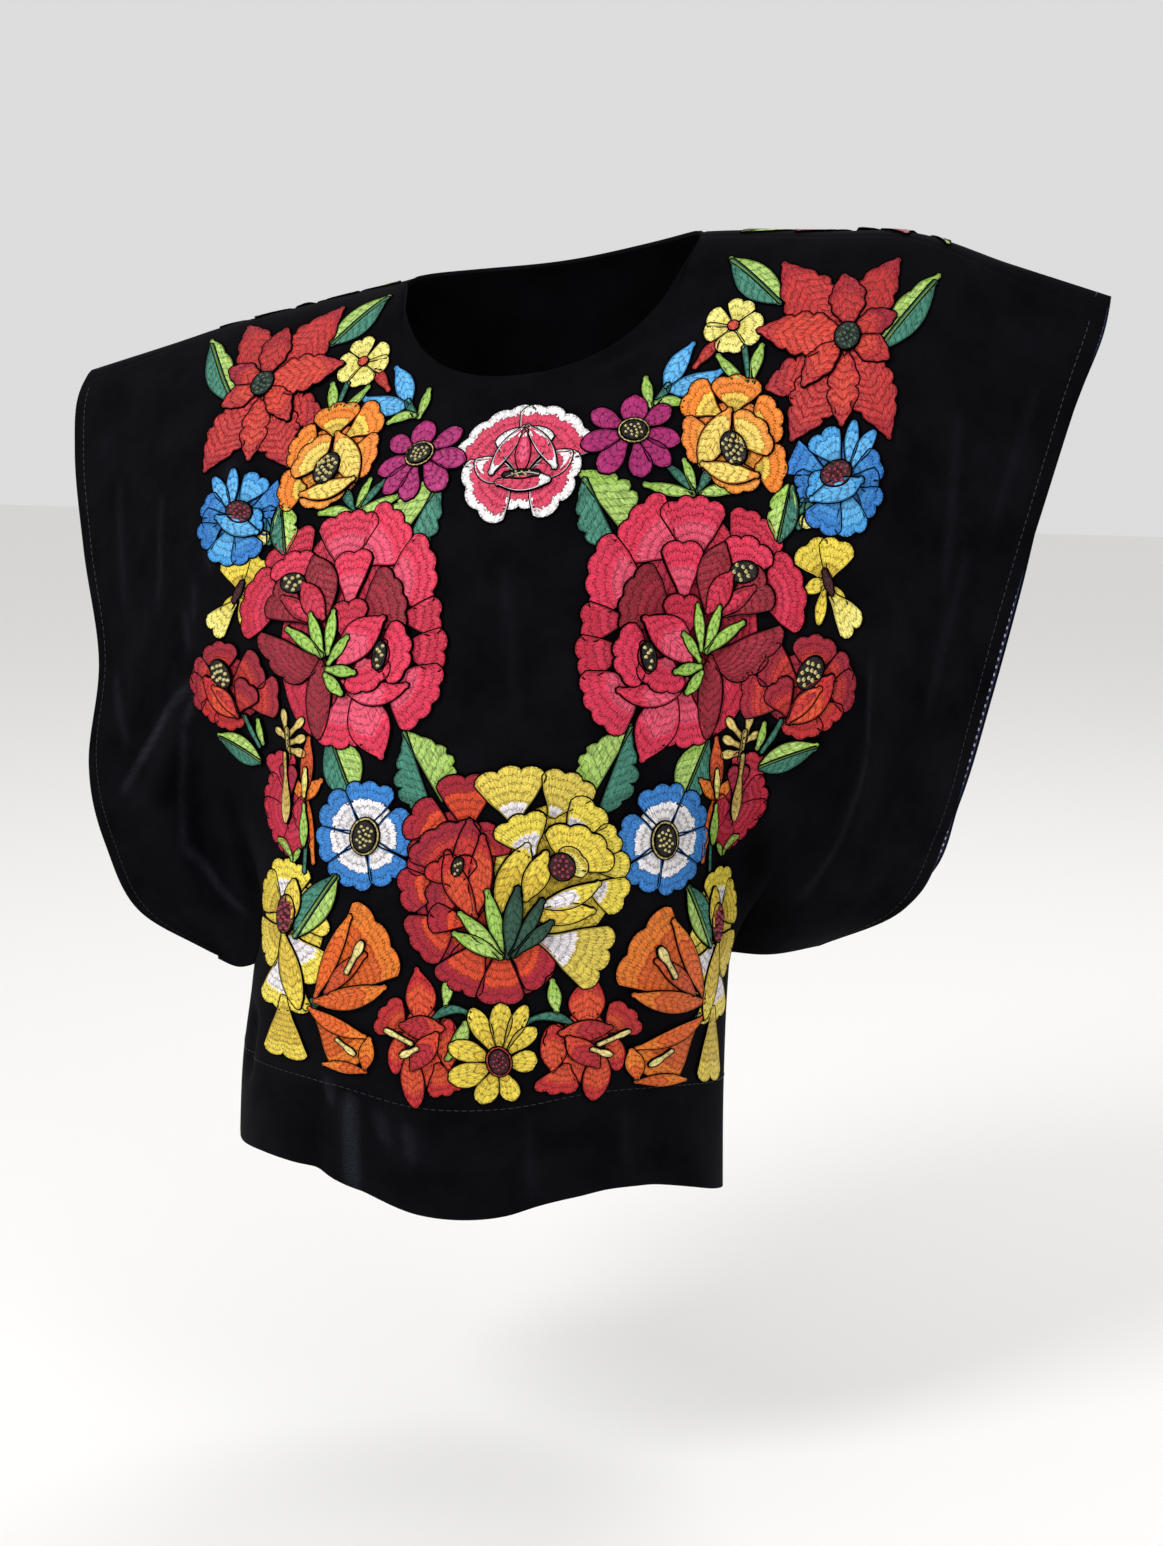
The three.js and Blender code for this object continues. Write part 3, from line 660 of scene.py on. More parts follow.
frontPanel = panelPiece(-1, "front_panel")
backPanel = panelPiece(1, "back_panel")
facings = [facingPiece(1, "facing_left"), facingPiece(-1, "facing_right")]
for piece, node, material, slotName in (
    (frontPanel, "front", velvet, "velvet"),
    (backPanel, "back", velvet, "velvet"),
    (facings[0], "sleeve_facing_left", dotCotton, "facing"),
    (facings[1], "sleeve_facing_right", dotCotton, "facing"),
):
    dress(piece, material)
    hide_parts(node)
print("panels and sleeve facings made")

# Satin-stitch thread: glossy rayon or mercerised cotton laid side by side in bands about 5 mm deep
# that follow each petal's edge. Each band is a soft ridge with its own glint, ragged where it
# meets the next, and two shades of thread meet in such a line. Painted shade darkens the grooves
# between bands, and painted glints brighten the strands
threadLook = {
    "band": 0.0052, "ragged": 0.0013, "thread": 0.0011, "edgeLine": "#050304", "roughness": 0.42, "glint": 0.3,
    "ragScale": 430.0, "breakScale": 190.0, "meetOver": 0.0004,
}
satin, tree, shader = newMaterial("satinStitchThread")
place = addNode(tree, "UVMap", {"uv_map": "cloth"})
inward = addNode(tree, "SeparateXYZ", {0: place}).outputs["Y"]
rag = addNode(tree, "TexNoise", {"Vector": place, "Scale": threadLook["ragScale"], "Detail": 1.0})
ragged = addNode(tree, "MapRange", {
    "Value": rag, "range": (0.3, 0.7, -threadLook["ragged"], threadLook["ragged"]),
})
depth = addNode(tree, "Math", {"operation": "ADD", 0: inward, 1: ragged})
bands = addNode(tree, "Math", {"operation": "DIVIDE", 0: depth, 1: threadLook["band"]})
inBand = addNode(tree, "Math", {"operation": "FRACT", 0: bands})
halfTurn = addNode(tree, "Math", {"operation": "MULTIPLY", 0: inBand, 1: math.pi})
ridge = addNode(tree, "Math", {"operation": "SINE", 0: halfTurn})
ridgeRound = addNode(tree, "Math", {"operation": "POWER", 0: ridge, 1: 0.32})
strandPlace = addNode(tree, "Mapping", {
    "Vector": place, "Scale": [1 / threadLook["thread"], 0.16 / threadLook["thread"], 1.0],
})
strand = addNode(tree, "TexNoise", {"Vector": strandPlace, "Scale": 1.0, "Detail": 2.0, "Roughness": 0.7})
# Strand shading: the thread's tone varies at random along its strands, and above 1 it brightens the colour
# into painted glints
strandToneAndGlint = addNode(tree, "MapRange", {"Value": strand, "range": (0.3, 0.7, 0.4, 1.4)})
# Painted shade: the colour darkens toward the ends of each band, in the grooves where the bands meet
paintedGrooveShade = addNode(tree, "MapRange", {"Value": ridgeRound, "range": (0.25, 0.8, 0.2, 1.0)})
# The painted groove shade is broken up at random, so it shows only in places
breakUp = addNode(tree, "TexNoise", {"Vector": place, "Scale": threadLook["breakScale"], "Detail": 2.0})
whole = addNode(tree, "MapRange", {"Value": breakUp, "range": (0.4, 0.62, 0.3, 1.0)})
bandBroken = addNode(tree, "Mix", {"data_type": "FLOAT", 0: whole, 2: 1.0, 3: paintedGrooveShade})
shadeBoth = addNode(tree, "Math", {"operation": "MULTIPLY", 0: strandToneAndGlint, 1: bandBroken})
edgeShade, baseShade, meetAt = [
    addNode(tree, "Attribute", {"attribute_name": name}) for name in ("edgeShade", "baseShade", "meetAt")
]
pastMeet = addNode(tree, "Math", {"operation": "SUBTRACT", 0: depth, 1: meetAt.outputs["Fac"]})
isInner = addNode(tree, "MapRange", {
    "Value": pastMeet, "range": (-threadLook["meetOver"], threadLook["meetOver"]),
})
thread = addNode(tree, "Mix", {"data_type": "RGBA", 0: isInner, 6: edgeShade, 7: baseShade})
shaded = addNode(tree, "VectorMath", {"operation": "SCALE", 0: thread.outputs[2], "Scale": shadeBoth})
outside = addNode(tree, "MapRange", {"Value": inward, "range": (-0.00035, -0.0001, 1.0, 0.0)})
lined = addNode(tree, "Mix", {"data_type": "RGBA", 0: outside, 6: shaded, 7: colour(threadLook["edgeLine"])})
height = addNode(tree, "Math", {"operation": "MULTIPLY_ADD", 0: strand, 1: 0.5, 2: ridgeRound})
setNode(tree, shader, {
    "Base Color": lined.outputs[2], "Roughness": threadLook["roughness"],
    "Specular IOR Level": addNode(tree, "MapRange", {
        "Value": outside, "range": (0.0, 1.0, threadLook["glint"], 0.0),
    }),
    "Normal": addNode(tree, "Bump", {"Height": height, "Strength": 1.0, "Distance": 0.001}),
})
print("thread made")

# Thread shades: at the petal's edge, toward its base, and where the two meet in millimetres
shades = {name: (edge, base, float(meet)) for name, edge, base, meet in (row.split() for row in """
    rose #d92c4e #ea5270 14
    crimson #bd1c3a #c92846 10
    wine #861024 #94182c 9
    scarlet #a31826 #ba2828 9
    vermilion #b02426 #c83829 9
    brick #98142a #bd2d28 9
    orange #f08322 #f0cb52 11
    amber #ee8630 #f09a38 9
    gold #f09434 #f2d264 5
    calla #ea7a1e #dd5d14 14
    rust #d4571f #c84a1c 9
    ember #a5152a #da441f 10
    flame #bd2225 #d64926 9
    glow #d34026 #b3202c 9
    lemon #e6cc45 #d8b838 14
    pale #f4e880 #efe070 9
    cream #ead44a #efe8ec 13
    creamDeep #e0c850 #efe8ec 22
    white #f3eef0 #e9e4e6 9
    blush #f6f3f3 #d63c5e 5
    pink #d93a5c #e4557a 7
    sky #2773bd #3a8ace 9
    skyPale #4098d8 #5aaee6 6
    skyWhite #2f7cc8 #efeaec 11
    violet #a51c68 #b82c7c 30
    magenta #9c1834 #b02444 10
    straw #d8bf6c #cfae58 9
    lime #98c04f #accf69 9
    sepal #8fbc48 #9cc757 6
    fern #2d6a57 #3b7e69 9
    pine #1d4433 #28523f 8
    bed #120a08 #120a08 9
    bedWine #3a0c14 #3a0c14 9
    bedGreen #16241d #16241d 9
    knotPale #f3e6a0 #f3e6a0 9
    knotWine #b4465a #b4465a 9
    knotGreen #5c7a66 #5c7a66 9
    ring #ecd98c #ecd98c 9
    ringRed #d9503c #d9503c 9
""".strip().splitlines())}

# What a row of the design gives for each kind of shape: the first numbers, its shade, and then as
# many of the last ones as it needs, with 0 for the rest. A fan spreads from its base to a scalloped edge,
# a blade runs from base to tip with its half widths to the left and right, a disc is an oval and
# knots are seeds. Angles in degrees, seen from in front: 0 is right, 90 down. Levels count layers
shapeColumns = {
    "fan": ("across down turn long spread lobes notch", "level slant"),
    "blade": ("across down turn long left right belly tip", "level bend teeth"),
    "disc": ("across down turn wide high", "level"),
    "knots": ("across down turn wide high count", "level"),
}

# The design, in millimetres on the cloth of the wearer's left half. A motif gives its name, its
# thread, and how far it is raised over what it lies on. Where there is more, it has a twin: how far
# that is moved from a mirror image about flowerCentre, across and down, and its share of the width
flowerCentre = 4.0
design = """
motif poinsettia red 0.25 10 -10 1
disc 193 72 90 26 18 brick
blade 192 67 -136 61 17 15 0.45 0.95 scarlet 0 6 6
blade 195 66 -68 48 14 12 0.45 0.95 scarlet 0 4 5
blade 188 84 156 40 13 14 0.5 0.85 scarlet 0 10 4
blade 190 80 113 55 16 15 0.45 0.95 scarlet 0 4 6
blade 196 76 58 58 15 16 0.45 0.95 scarlet 0 6 6
blade 193 78 85 44 9 9 0.5 0.9 vermilion 0 0 4
blade 193 64 -106 32 9 11 0.55 0.85 scarlet 1 0 4
blade 196 66 -30 24 8 8 0.5 0.85 brick 1 0 3
blade 197 72 22 22 9 8 0.5 0.85 vermilion 1 0 3
blade 189 71 -174 47 13 14 0.42 0.95 vermilion 2 -6 5
blade 188 74 122 29 8 9 0.45 0.95 vermilion 2 0 3
disc 193 70 80 8 6.5 bedGreen 3
knots 193 70 80 7 5.5 14 knotGreen 3
motif smallFlower yellow 0.25 8 -6 1
fan 127 62 -78 16 32 2 0.12 pale
fan 127 63 -156 17 22 1 0.1 pale
fan 127 64 166 17 20 1 0.12 pale
fan 127 64 92 16 36 2 0.14 pale
fan 127 64 4 17 42 2 0.14 pale
disc 127 63 0 2.8 2.6 ringRed 1
blade 141 97 -105 22 1.2 1.4 0.4 0.9 fern
blade 139 98 -138 25 2.6 3 0.5 0.9 lime 0 22
blade 142 98 -82 24 2.8 3.2 0.6 0.9 lime 0 10
motif tulip blue 0.25 9 -8 1
blade 107 89 -54 20 3 3.4 0.62 0.7 vermilion
blade 90 100 -60 30 5.5 6 0.42 1 skyPale 0 12
blade 92 102 -20 35 5 7 0.42 1 skyPale 0 -22
blade 83 111 -54 15 1.4 2.6 0.75 0.7 fern
blade 81 112 -100 18 3 3 0.55 0.9 lime 0 8
blade 84 110 4 19 3.4 2.2 0.5 0.9 lime 0 28
motif orangeRose orange 0.6 3 -10 1
disc 134 134 0 27 25 amber -1
fan 126 118 -148 27 30 2 0.11 orange
fan 133 117 -88 24 42 3 0.11 orange
fan 143 125 -25 21 50 3 0.11 orange 0 -0.08
fan 146 148 0 21 46 3 0.11 orange 0 -0.05
fan 136 142 96 21 56 3 0.11 gold
fan 124 130 172 24 40 3 0.11 amber
blade 112 148 -61 39 8 8 0.45 0.85 gold 1
fan 136 136 -42 22 52 3 0.11 gold 2
blade 113 147 8 37 4 7 0.5 0.9 gold 2 -6
disc 134 137 65 10 7.5 bed 2
knots 134 137 65 9 6.5 17 knotPale 3
motif violetDaisy violet 0.6 5 2 1
blade 71 126 -154 27 5.5 5.5 0.72 0.45 violet
blade 71 126 -89 20 8 8 0.62 0.45 violet
blade 71 126 -30 25 5.5 5.5 0.72 0.45 violet
blade 71 126 14 28 5.5 6 0.68 0.5 violet
blade 71 126 45 29 5.5 6 0.7 0.45 violet
blade 71 126 80 27 6.5 6.5 0.75 0.4 violet
blade 71 126 130 29 7 6.5 0.72 0.4 violet
blade 71 126 167 30 6 6 0.7 0.45 violet
disc 71 126 5 9 7 ring 1
disc 71 126 5 7.4 5.4 bed 2
knots 71 126 5 6 4.2 13 knotPale 2
motif stems yellow 0 2 -6 1
blade 109 165 -136 26 2 3 0.6 0.9 fern
blade 108 163 -110 20 2.2 3.2 0.55 0.9 lime
blade 110 163 -56 18 3.2 2.6 0.6 0.8 fern
blade 107 164 -168 31 3 3.2 0.5 0.9 lime 0 10
blade 112 164 -6 23 4.2 1.8 0.45 0.9 lime
motif blueRose blue 0.5 8 -2 1
disc 199 153 20 22 21 sky -1
fan 192 151 -156 25 21 1 -0.1 sky
fan 192 155 170 20 30 2 0.14 sky
fan 199 147 -125 25 25 2 0.11 skyPale
blade 203 148 -88 28 3.5 3.8 0.62 0.45 skyPale
blade 204 148 -62 27 4 4 0.62 0.45 skyPale
fan 205 151 -30 22 25 2 0.11 sky
fan 206 152 0 18 24 1 0.1 sky
fan 209 157 26 20 32 2 0.14 sky
fan 202 158 70 27 26 2 0.11 skyPale
fan 199 160 116 25 30 2 0.11 sky
fan 194 159 -172 14 44 2 0.14 skyPale 1
blade 183 165 -24 33 5.5 6 0.5 0.9 skyPale 2 -14
disc 197 150 -25 9 6.5 bedWine 2
knots 197 150 -25 8 5.5 15 knotWine 2
motif orchid yellow 0.25 9 -10 1
fan 195 210 -124 25 28 2 0.11 lemon
fan 196 211 -76 25 28 2 0.11 lemon
blade 197 211 162 15 3 5 0.55 0.7 lemon
blade 195 213 96 20 3.2 3.6 0.6 0.5 lemon
blade 198 212 42 16 3 3.6 0.55 0.7 lemon
fan 197 215 42 30 20 2 0.11 pale
blade 194 204 64 14 2.2 2.4 0.5 0.6 bedWine 1
disc 181 177 10 4.4 4 pale
blade 176 181 -84 16 1 1.2 0.5 0.8 fern
blade 176 172 -38 13 3.2 3 0.6 0.7 fern
blade 174 175 -100 17 2 2.4 0.55 0.9 lime
blade 163 187 -80 30 10 0 0.5 0.85 lime 0 0 2
blade 164 188 -78 31 0 8 0.45 0.85 fern
motif crimsonRose crimson 0.5 -2 -8 1
disc 106 234 80 66 44 crimson -1
fan 98 201 -141 41 35 4 0.08 rose
fan 107 206 -90 41 33 4 0.08 rose
fan 133 201 -52 33 38 4 0.08 crimson 0 0.1
fan 79 213 -166 36 40 4 0.08 rose 0 0.06
fan 68 231 180 28 24 2 0.11 crimson
fan 68 247 173 31 24 2 0.08 crimson
fan 76 262 150 37 36 4 0.08 rose
fan 100 268 100 37 40 4 0.08 rose
blade 91 272 114 42 12 13 0.5 1 rose
fan 150 223 -18 34 46 4 0.08 crimson
fan 110 253 6 47 23 3 0.08 wine 0 -0.4
blade 117 254 91 45 10 8 0.45 0.5 wine
fan 92 229 -158 32 42 4 0.08 wine 1
fan 98 227 -88 37 22 2 0.08 rose 1
fan 141 210 -77 24 50 3 0.11 rose 1
blade 100 266 176 43 7 6 0.5 0.9 rose 1 60
fan 124 232 -31 41 20 2 0.08 wine 2
blade 114 229 -69 40 13 11 0.52 0.8 wine 2
blade 115 229 -49 29 7 8 0.5 0.85 crimson 3
blade 124 231 -33 31 5 4 0.52 0.85 crimson 2
fan 96 247 -85 28 30 2 0.11 crimson 2
fan 77 250 178 21 62 4 0.11 rose 2
fan 88 252 114 21 52 3 0.11 rose 2
blade 75 260 -100 16 4 3 0.5 0.9 crimson 2
blade 102 257 -138 39 8 13 0.5 1 rose 3
disc 142 206 -8 9.5 5.5 bed 2
knots 142 206 -8 8.5 4.8 8 knotPale 3
disc 75 252 -100 8 3.6 bed 3
knots 75 252 -100 7 2.6 6 knotPale 3
blade 110 250 -95 25 3.6 3.6 0.55 0.8 sepal 3
blade 113 251 -64 28 3.4 3.8 0.55 0.8 sepal 3
blade 114 251 -31 34 3.6 3.2 0.5 0.85 sepal 3
blade 109 256 -130 20 2.8 3.4 0.55 0.8 sepal 3
blade 110 259 173 20 3 3.2 0.55 0.85 sepal 3
blade 111 262 138 17 4 3.2 0.5 0.8 sepal 3
motif redRose red 0.8 -12 -7 1
disc 187 270 0 30 20 brick -1
fan 176 279 -171 35 22 2 0.08 brick 0 0.05
fan 184 268 -152 31 26 2 0.08 brick
fan 191 263 -88 24 42 3 0.11 brick
fan 196 263 -24 23 24 2 0.11 brick
fan 200 268 4 22 38 2 0.11 brick
fan 197 275 48 18 34 2 0.14 flame
fan 188 275 93 22 44 3 0.11 flame
fan 178 285 -122 23 30 2 0.11 brick 1
blade 178 287 -44 37 8 10 0.5 0.85 flame 2 -12
blade 177 287 -42 28 6 4 0.5 0.85 brick 2
disc 190 260 -50 10 7 bed 2
knots 190 260 -50 9 6 13 knotPale 3
blade 162 305 -60 21 1.6 1.8 0.5 0.8 fern
blade 164 314 -21 39 8 0 0.42 1 lime 0 6
blade 164 315 -20 38 0 9 0.45 1 fern 0 6
blade 158 303 -80 15 2 3 0.5 0.9 lime
motif sprig yellow 0.25 0 -8 1
blade 147 300 -80 17 2.6 2.6 0.78 0.45 straw
blade 145 298 -144 16 2.4 2.6 0.78 0.5 straw
blade 147 300 -28 11 2.2 2.2 0.76 0.5 straw
blade 145 303 -166 15 2.4 2.6 0.76 0.5 straw
blade 146 307 172 16 2.4 2.6 0.7 0.5 straw
blade 146 312 -88 18 0.9 0.9 0.5 0.6 straw
motif magentaFlower crimson 0.25 0 -6 1
disc 152 340 0 20 26 crimson -1
fan 152 344 -84 38 26 3 0.08 crimson
fan 150 345 -24 30 36 3 0.11 crimson
fan 150 341 40 30 46 4 0.11 crimson
fan 148 344 112 28 38 3 0.11 crimson
fan 148 344 178 20 36 2 0.14 crimson
fan 148 338 -94 24 26 2 0.11 magenta 1
blade 148 307 86 44 5 5 0.74 0.5 straw 2
blade 143 374 -28 23 2.6 3 0.55 0.8 lime 0 56
blade 141 374 -130 9 2 2.4 0.55 0.8 lime
motif lily orange 0.25 -2 -8 1
blade 126 338 99 38 3.4 3 0.35 1 calla 0 -8
blade 131 338 78 36 3 3.4 0.35 1 calla 0 10
blade 128 336 -142 19 4.2 4.4 0.45 1 calla
blade 129 336 -38 19 4.4 4.2 0.45 1 calla
blade 128 334 -96 35 5.6 5.6 0.48 1 rust
blade 128 335 -95 17 2.4 2.4 0.5 0.9 pale 1
blade 128 340 89 25 4 4 0.6 0.55 sepal 1
blade 128 382 -94 20 1.2 1.2 0.5 0.6 fern
motif blueWhiteFlower blue 0.25 4 -9 1
disc 90 358 80 22 19 white
fan 90 356 -97 31 30 3 0.12 skyWhite
fan 91 356 -36 31 27 2 0.12 skyWhite
fan 92 358 14 31 22 2 0.12 skyWhite
fan 91 360 66 31 30 3 0.12 skyWhite
fan 89 360 122 29 26 2 0.12 skyWhite
fan 89 358 -172 28 34 3 0.12 skyWhite
disc 90 358 80 11 8 ring 1
disc 90 358 80 9.2 6.2 bed 2
knots 90 358 80 7.4 4.8 15 knotPale 2
motif calla orange 0.5 2 -9 0.82
fan 122 459 -138 66 24 3 0.05 calla 0 0.05
blade 127 459 -119 60 4 7 0.5 0.8 calla 1 6
blade 128 462 -166 56 8 6 0.5 0.85 calla 1 12
blade 118 455 -140 40 4 6 0.5 0.9 rust 1
blade 101 441 -122 22 2.6 2.6 0.8 0.4 ring 2
blade 131 462 170 9 2.6 2.6 0.4 0.6 fern
motif sideCalla orange 0.25 -4 -14 0.72
fan 125 474 138 57 24 3 0.05 calla
blade 128 473 163 54 7 5 0.5 0.85 calla 1 10
blade 76 518 3 36 6 4 0.5 0.85 calla 1 -8
blade 77 516 -98 27 5 6 0.5 0.8 calla 1
blade 100 494 145 18 2.4 2.4 0.75 0.4 ring 2
blade 133 474 -170 12 2.8 2.8 0.4 0.6 fern
motif emberFlower ember 0.25 -10 -6 0.8
disc 47 486 84 30 15 glow
blade 47 466 -86 32 12 9 0.45 1.05 flame
fan 56 474 -34 24 42 3 0.12 flame
fan 38 476 -164 16 36 2 0.12 glow
blade 27 500 -90 34 7 8 0.5 0.4 flame
fan 36 494 110 27 32 3 0.14 flame
blade 62 476 84 30 6 6 0.5 0.5 flame
blade 55 486 96 44 8 8 0.55 0.5 flame 1
blade 61 470 178 30 8 7 0.5 0.8 glow 1
blade 53 501 -124 32 7 8 0.5 0.8 glow 2
blade 53 482 -25 20 1.8 1.8 0.78 0.45 ring 3
blade 49 485 30 13 2.4 2.4 0.72 0.45 ring 3
blade 10 464 2 31 2.4 3 0.62 0.8 fern 0 96
blade 29 456 -98 20 3.6 3.6 0.5 0.9 lime
motif sideRose yellow 0.25 -6 -14 1.3
disc 140 420 88 34 24 lemon -1
fan 141 414 -92 32 34 3 0.08 cream
fan 142 416 -28 29 36 3 0.11 lemon
fan 138 418 -160 26 38 3 0.11 cream
fan 142 424 40 30 36 3 0.11 lemon
fan 138 426 122 34 34 3 0.08 cream
fan 140 434 88 46 26 3 0.08 cream
fan 140 462 92 62 14 2 0.08 lemon
blade 138 424 -98 30 6 6 0.55 0.6 lemon 1
blade 141 428 104 48 7 7 0.5 0.6 lemon 1
disc 140 416 82 12 6.5 bedWine 1
knots 140 416 82 11 5.5 17 knotWine 2
blade 133 429 -122 48 8 0 0.5 0.95 lime
blade 133 429 -121 48 0 9 0.5 0.95 fern
motif shoulderLeaves yellow 0 9 -8 1
blade 151 47 -144 43 0 8 0.45 0.95 lime 0 -10
blade 151 48 -143 42 10 0 0.5 0.95 fern 0 -6
blade 211 76 -62 60 8 0 0.5 0.95 lime 0 6 3
blade 211 77 -62 56 0 10 0.5 0.9 fern 0 6
motif chestLeaves yellow 0 -8 -4 1
blade 66 184 -126 44 0 19 0.42 0.75 lime 0 0 5
blade 62 194 -114 46 14 0 0.45 0.8 fern 0 0 5
motif waistLeaves yellow 0 4 -3 1
blade 67 290 118 46 0 17 0.55 0.7 lime 0 0 6
blade 67 291 108 50 15 0 0.6 0.7 fern 0 0 5
motif hipLeaves yellow 0 7 -12 1
blade 100 337 -65 39 13 0 0.5 0.9 lime
blade 101 338 -65 40 0 12 0.45 0.9 fern
motif centreFlower pink 0.25
disc 6 142 0 24 18 pink
fan 7 142 92 24 30 2 0.1 blush
fan 7 145 -126 43 41 4 0.06 blush 0 -0.06
fan 7 145 -54 42 41 4 0.06 blush 0 0.06
fan 4 142 148 33 44 3 0.1 blush
fan 9 142 32 32 44 3 0.1 blush
blade 6 147 -158 29 8 6 0.6 0.6 blush 0 12
blade 8 147 -22 29 6 8 0.6 0.6 blush 0 -12
fan 7 150 -90 32 34 2 0.05 blush 1
blade 7 118 125 32 4 4 0.5 0.8 blush 1 -24
blade 8 118 55 32 4 4 0.5 0.8 blush 1 24
blade 7 120 90 25 4 4 0.55 0.8 pink 1
blade -7 150 2 30 5 5 0.5 0.6 blush 2
blade -3 146 2 20 2.2 2.2 0.5 0.8 bed 2
knots 7 146 0 7 1.6 8 knotPale 2
motif emberRose ember 0.8
disc -24 384 85 50 26 ember -1
disc -2 426 0 30 20 ember -1
fan -20 350 -92 38 25 2 0.08 ember
fan -24 352 -148 33 26 2 0.08 ember
fan -18 362 -45 23 35 2 0.11 ember
fan -32 362 -176 22 32 2 0.11 ember
fan -32 378 172 28 30 2 0.11 ember
fan -25 398 150 32 32 3 0.08 ember
fan -10 408 122 38 24 3 0.08 ember
fan -2 410 92 40 20 2 0.08 ember
fan 2 419 22 27 42 3 0.11 ember
fan -22 373 -118 34 42 4 0.08 brick 1
fan -20 385 -172 24 40 3 0.11 brick 1
fan -17 401 -170 26 20 1 0.08 ember 1
blade -17 397 -92 58 10 12 0.45 0.8 brick 1 8
blade -17 396 -84 48 4 8 0.5 0.85 flame 2 10
fan -27 379 -104 20 52 3 0.14 flame 2
blade -17 397 -110 42 9 4 0.5 0.85 flame 2
disc -26 366 -75 5.5 2.6 bed 3
knots -26 366 -75 5 1.8 5 knotPale 3
blade -2 420 -102 40 3.8 4 0.5 0.85 sepal 2
blade -2 421 -131 36 3.6 4 0.55 0.85 lime 3
blade -3 421 -150 30 4 4.2 0.5 0.8 lime 3
motif creamRose yellow 1.1
disc 28 374 90 42 34 lemon -1
fan 6 346 -96 38 32 3 0.08 creamDeep
fan 24 341 -62 30 34 3 0.11 creamDeep
fan 32 353 -48 27 30 2 0.11 cream
fan 38 363 -25 27 21 2 0.11 cream
fan 44 370 0 25 19 1 0.12 cream
fan 42 380 22 28 25 2 0.11 cream
fan 14 409 22 48 25 3 0.08 creamDeep
fan 16 363 -112 28 35 3 0.11 cream 1
blade -4 395 -68 44 8 9 0.5 0.75 lemon 1 8
fan 32 371 -55 28 56 4 0.11 lemon 2
blade 11 387 -68 30 6 7 0.5 0.8 lemon 2
fan 31 370 -36 14 56 2 0.14 pale 2
blade 15 398 -4 34 7 5 0.5 0.8 lemon 2 -6
blade 19 391 -20 35 5 6 0.5 0.85 cream 2 -20
disc 31 368 70 8 6.5 bedWine 3
knots 31 368 70 7 5.6 14 knotWine 3
blade 1 421 -82 42 5 4.4 0.55 0.85 pine 3
blade 3 420 -62 37 2.8 3.6 0.6 0.8 pine 3
blade 4 420 -42 29 3 3.8 0.6 0.8 pine 3
motif yellowDaisy yellow 0.8
blade -23 461 112 28 4.5 3.6 0.45 0.9 lime 0 18
blade -4 489 -113 39 5.5 5.5 0.7 0.45 lemon
blade -4 489 -88 39 6 6 0.72 0.4 lemon
blade -4 489 -68 40 4.5 4.5 0.72 0.4 lemon
blade -4 489 -48 30 5.5 5.5 0.72 0.45 lemon
blade -4 489 4 21 8 8 0.72 0.35 lemon
blade -4 489 74 30 5.5 5.5 0.72 0.4 lemon
blade -4 489 108 31 6.5 6.5 0.72 0.4 lemon
blade -4 489 155 30 9 8 0.68 0.4 lemon
blade -4 489 -156 30 7 7 0.68 0.45 lemon
disc -4 489 80 10.5 7 ringRed 1
disc -4 489 80 8.8 5.4 bedWine 2
knots -4 489 80 7.2 4.2 13 knotWine 2
"""


def readDesign(text):
    motifs = []
    for line in text.strip().splitlines():
        kind, *parts = line.split()
        if kind == "motif":
            name, threadName, *numbers = parts
            raised, *shift = map(float, numbers)
            motifs.append({"name": name, "thread": threadName, "raised": raised, "shift": shift, "rows": []})
        else:
            names, extras = (part.split() for part in shapeColumns[kind])
            row = dict.fromkeys(extras, 0.0)
            row.update(zip(names, map(float, parts)), kind=kind, shade=parts[len(names)])
            row.update(zip(extras, map(float, parts[len(names) + 1:])))
            motifs[-1]["rows"].append(row)
    return motifs


# Sewn relief in millimetres: lowest lift over the velvet, height of a layer and of its padding, the
# dark line round a patch and the skirt that goes down into the velvet. order is how much each shape of
# a motif lies over the one before it
stitchRelief = {
    "lift": 0.12, "layer": 0.7, "pad": 0.45, "dome": 0.3, "domeReach": 0.45, "line": 0.85, "skirt": 0.9,
    "order": 0.06,
}
sewnCells = {"along": 1.9, "inward": 2.6, "round": 0.9, "ring": 2.5}
# Where a fan's cells start and its width opens, how round its scallops are and how soon they fade
fanShape = {"start": 0.12, "narrow": 0.55, "openBy": 0.65, "scallop": 0.65, "fade": 2.5}
# A blade's roundness at its base, its teeth, its least half width, and how far its bands point
bladeShape = {"base": 0.9, "tooth": 0.6, "cut": 0.32, "least": 0.5, "point": 0.75, "edgeDepth": 2.2}
# A seed: widest radius, share of its room, height, sides, and its rings' radii and heights. Each is
# turned from the last, as seeds in a flower are
seed = {
    "wide": 1.25, "share": 0.62, "high": 0.9, "sides": 7, "turn": 137.5, "depth": 0.0026,
    "rings": [0.0, 0.6, 0.95, 1.0], "rise": [1.0, 0.78, 0.25, -0.7],
}


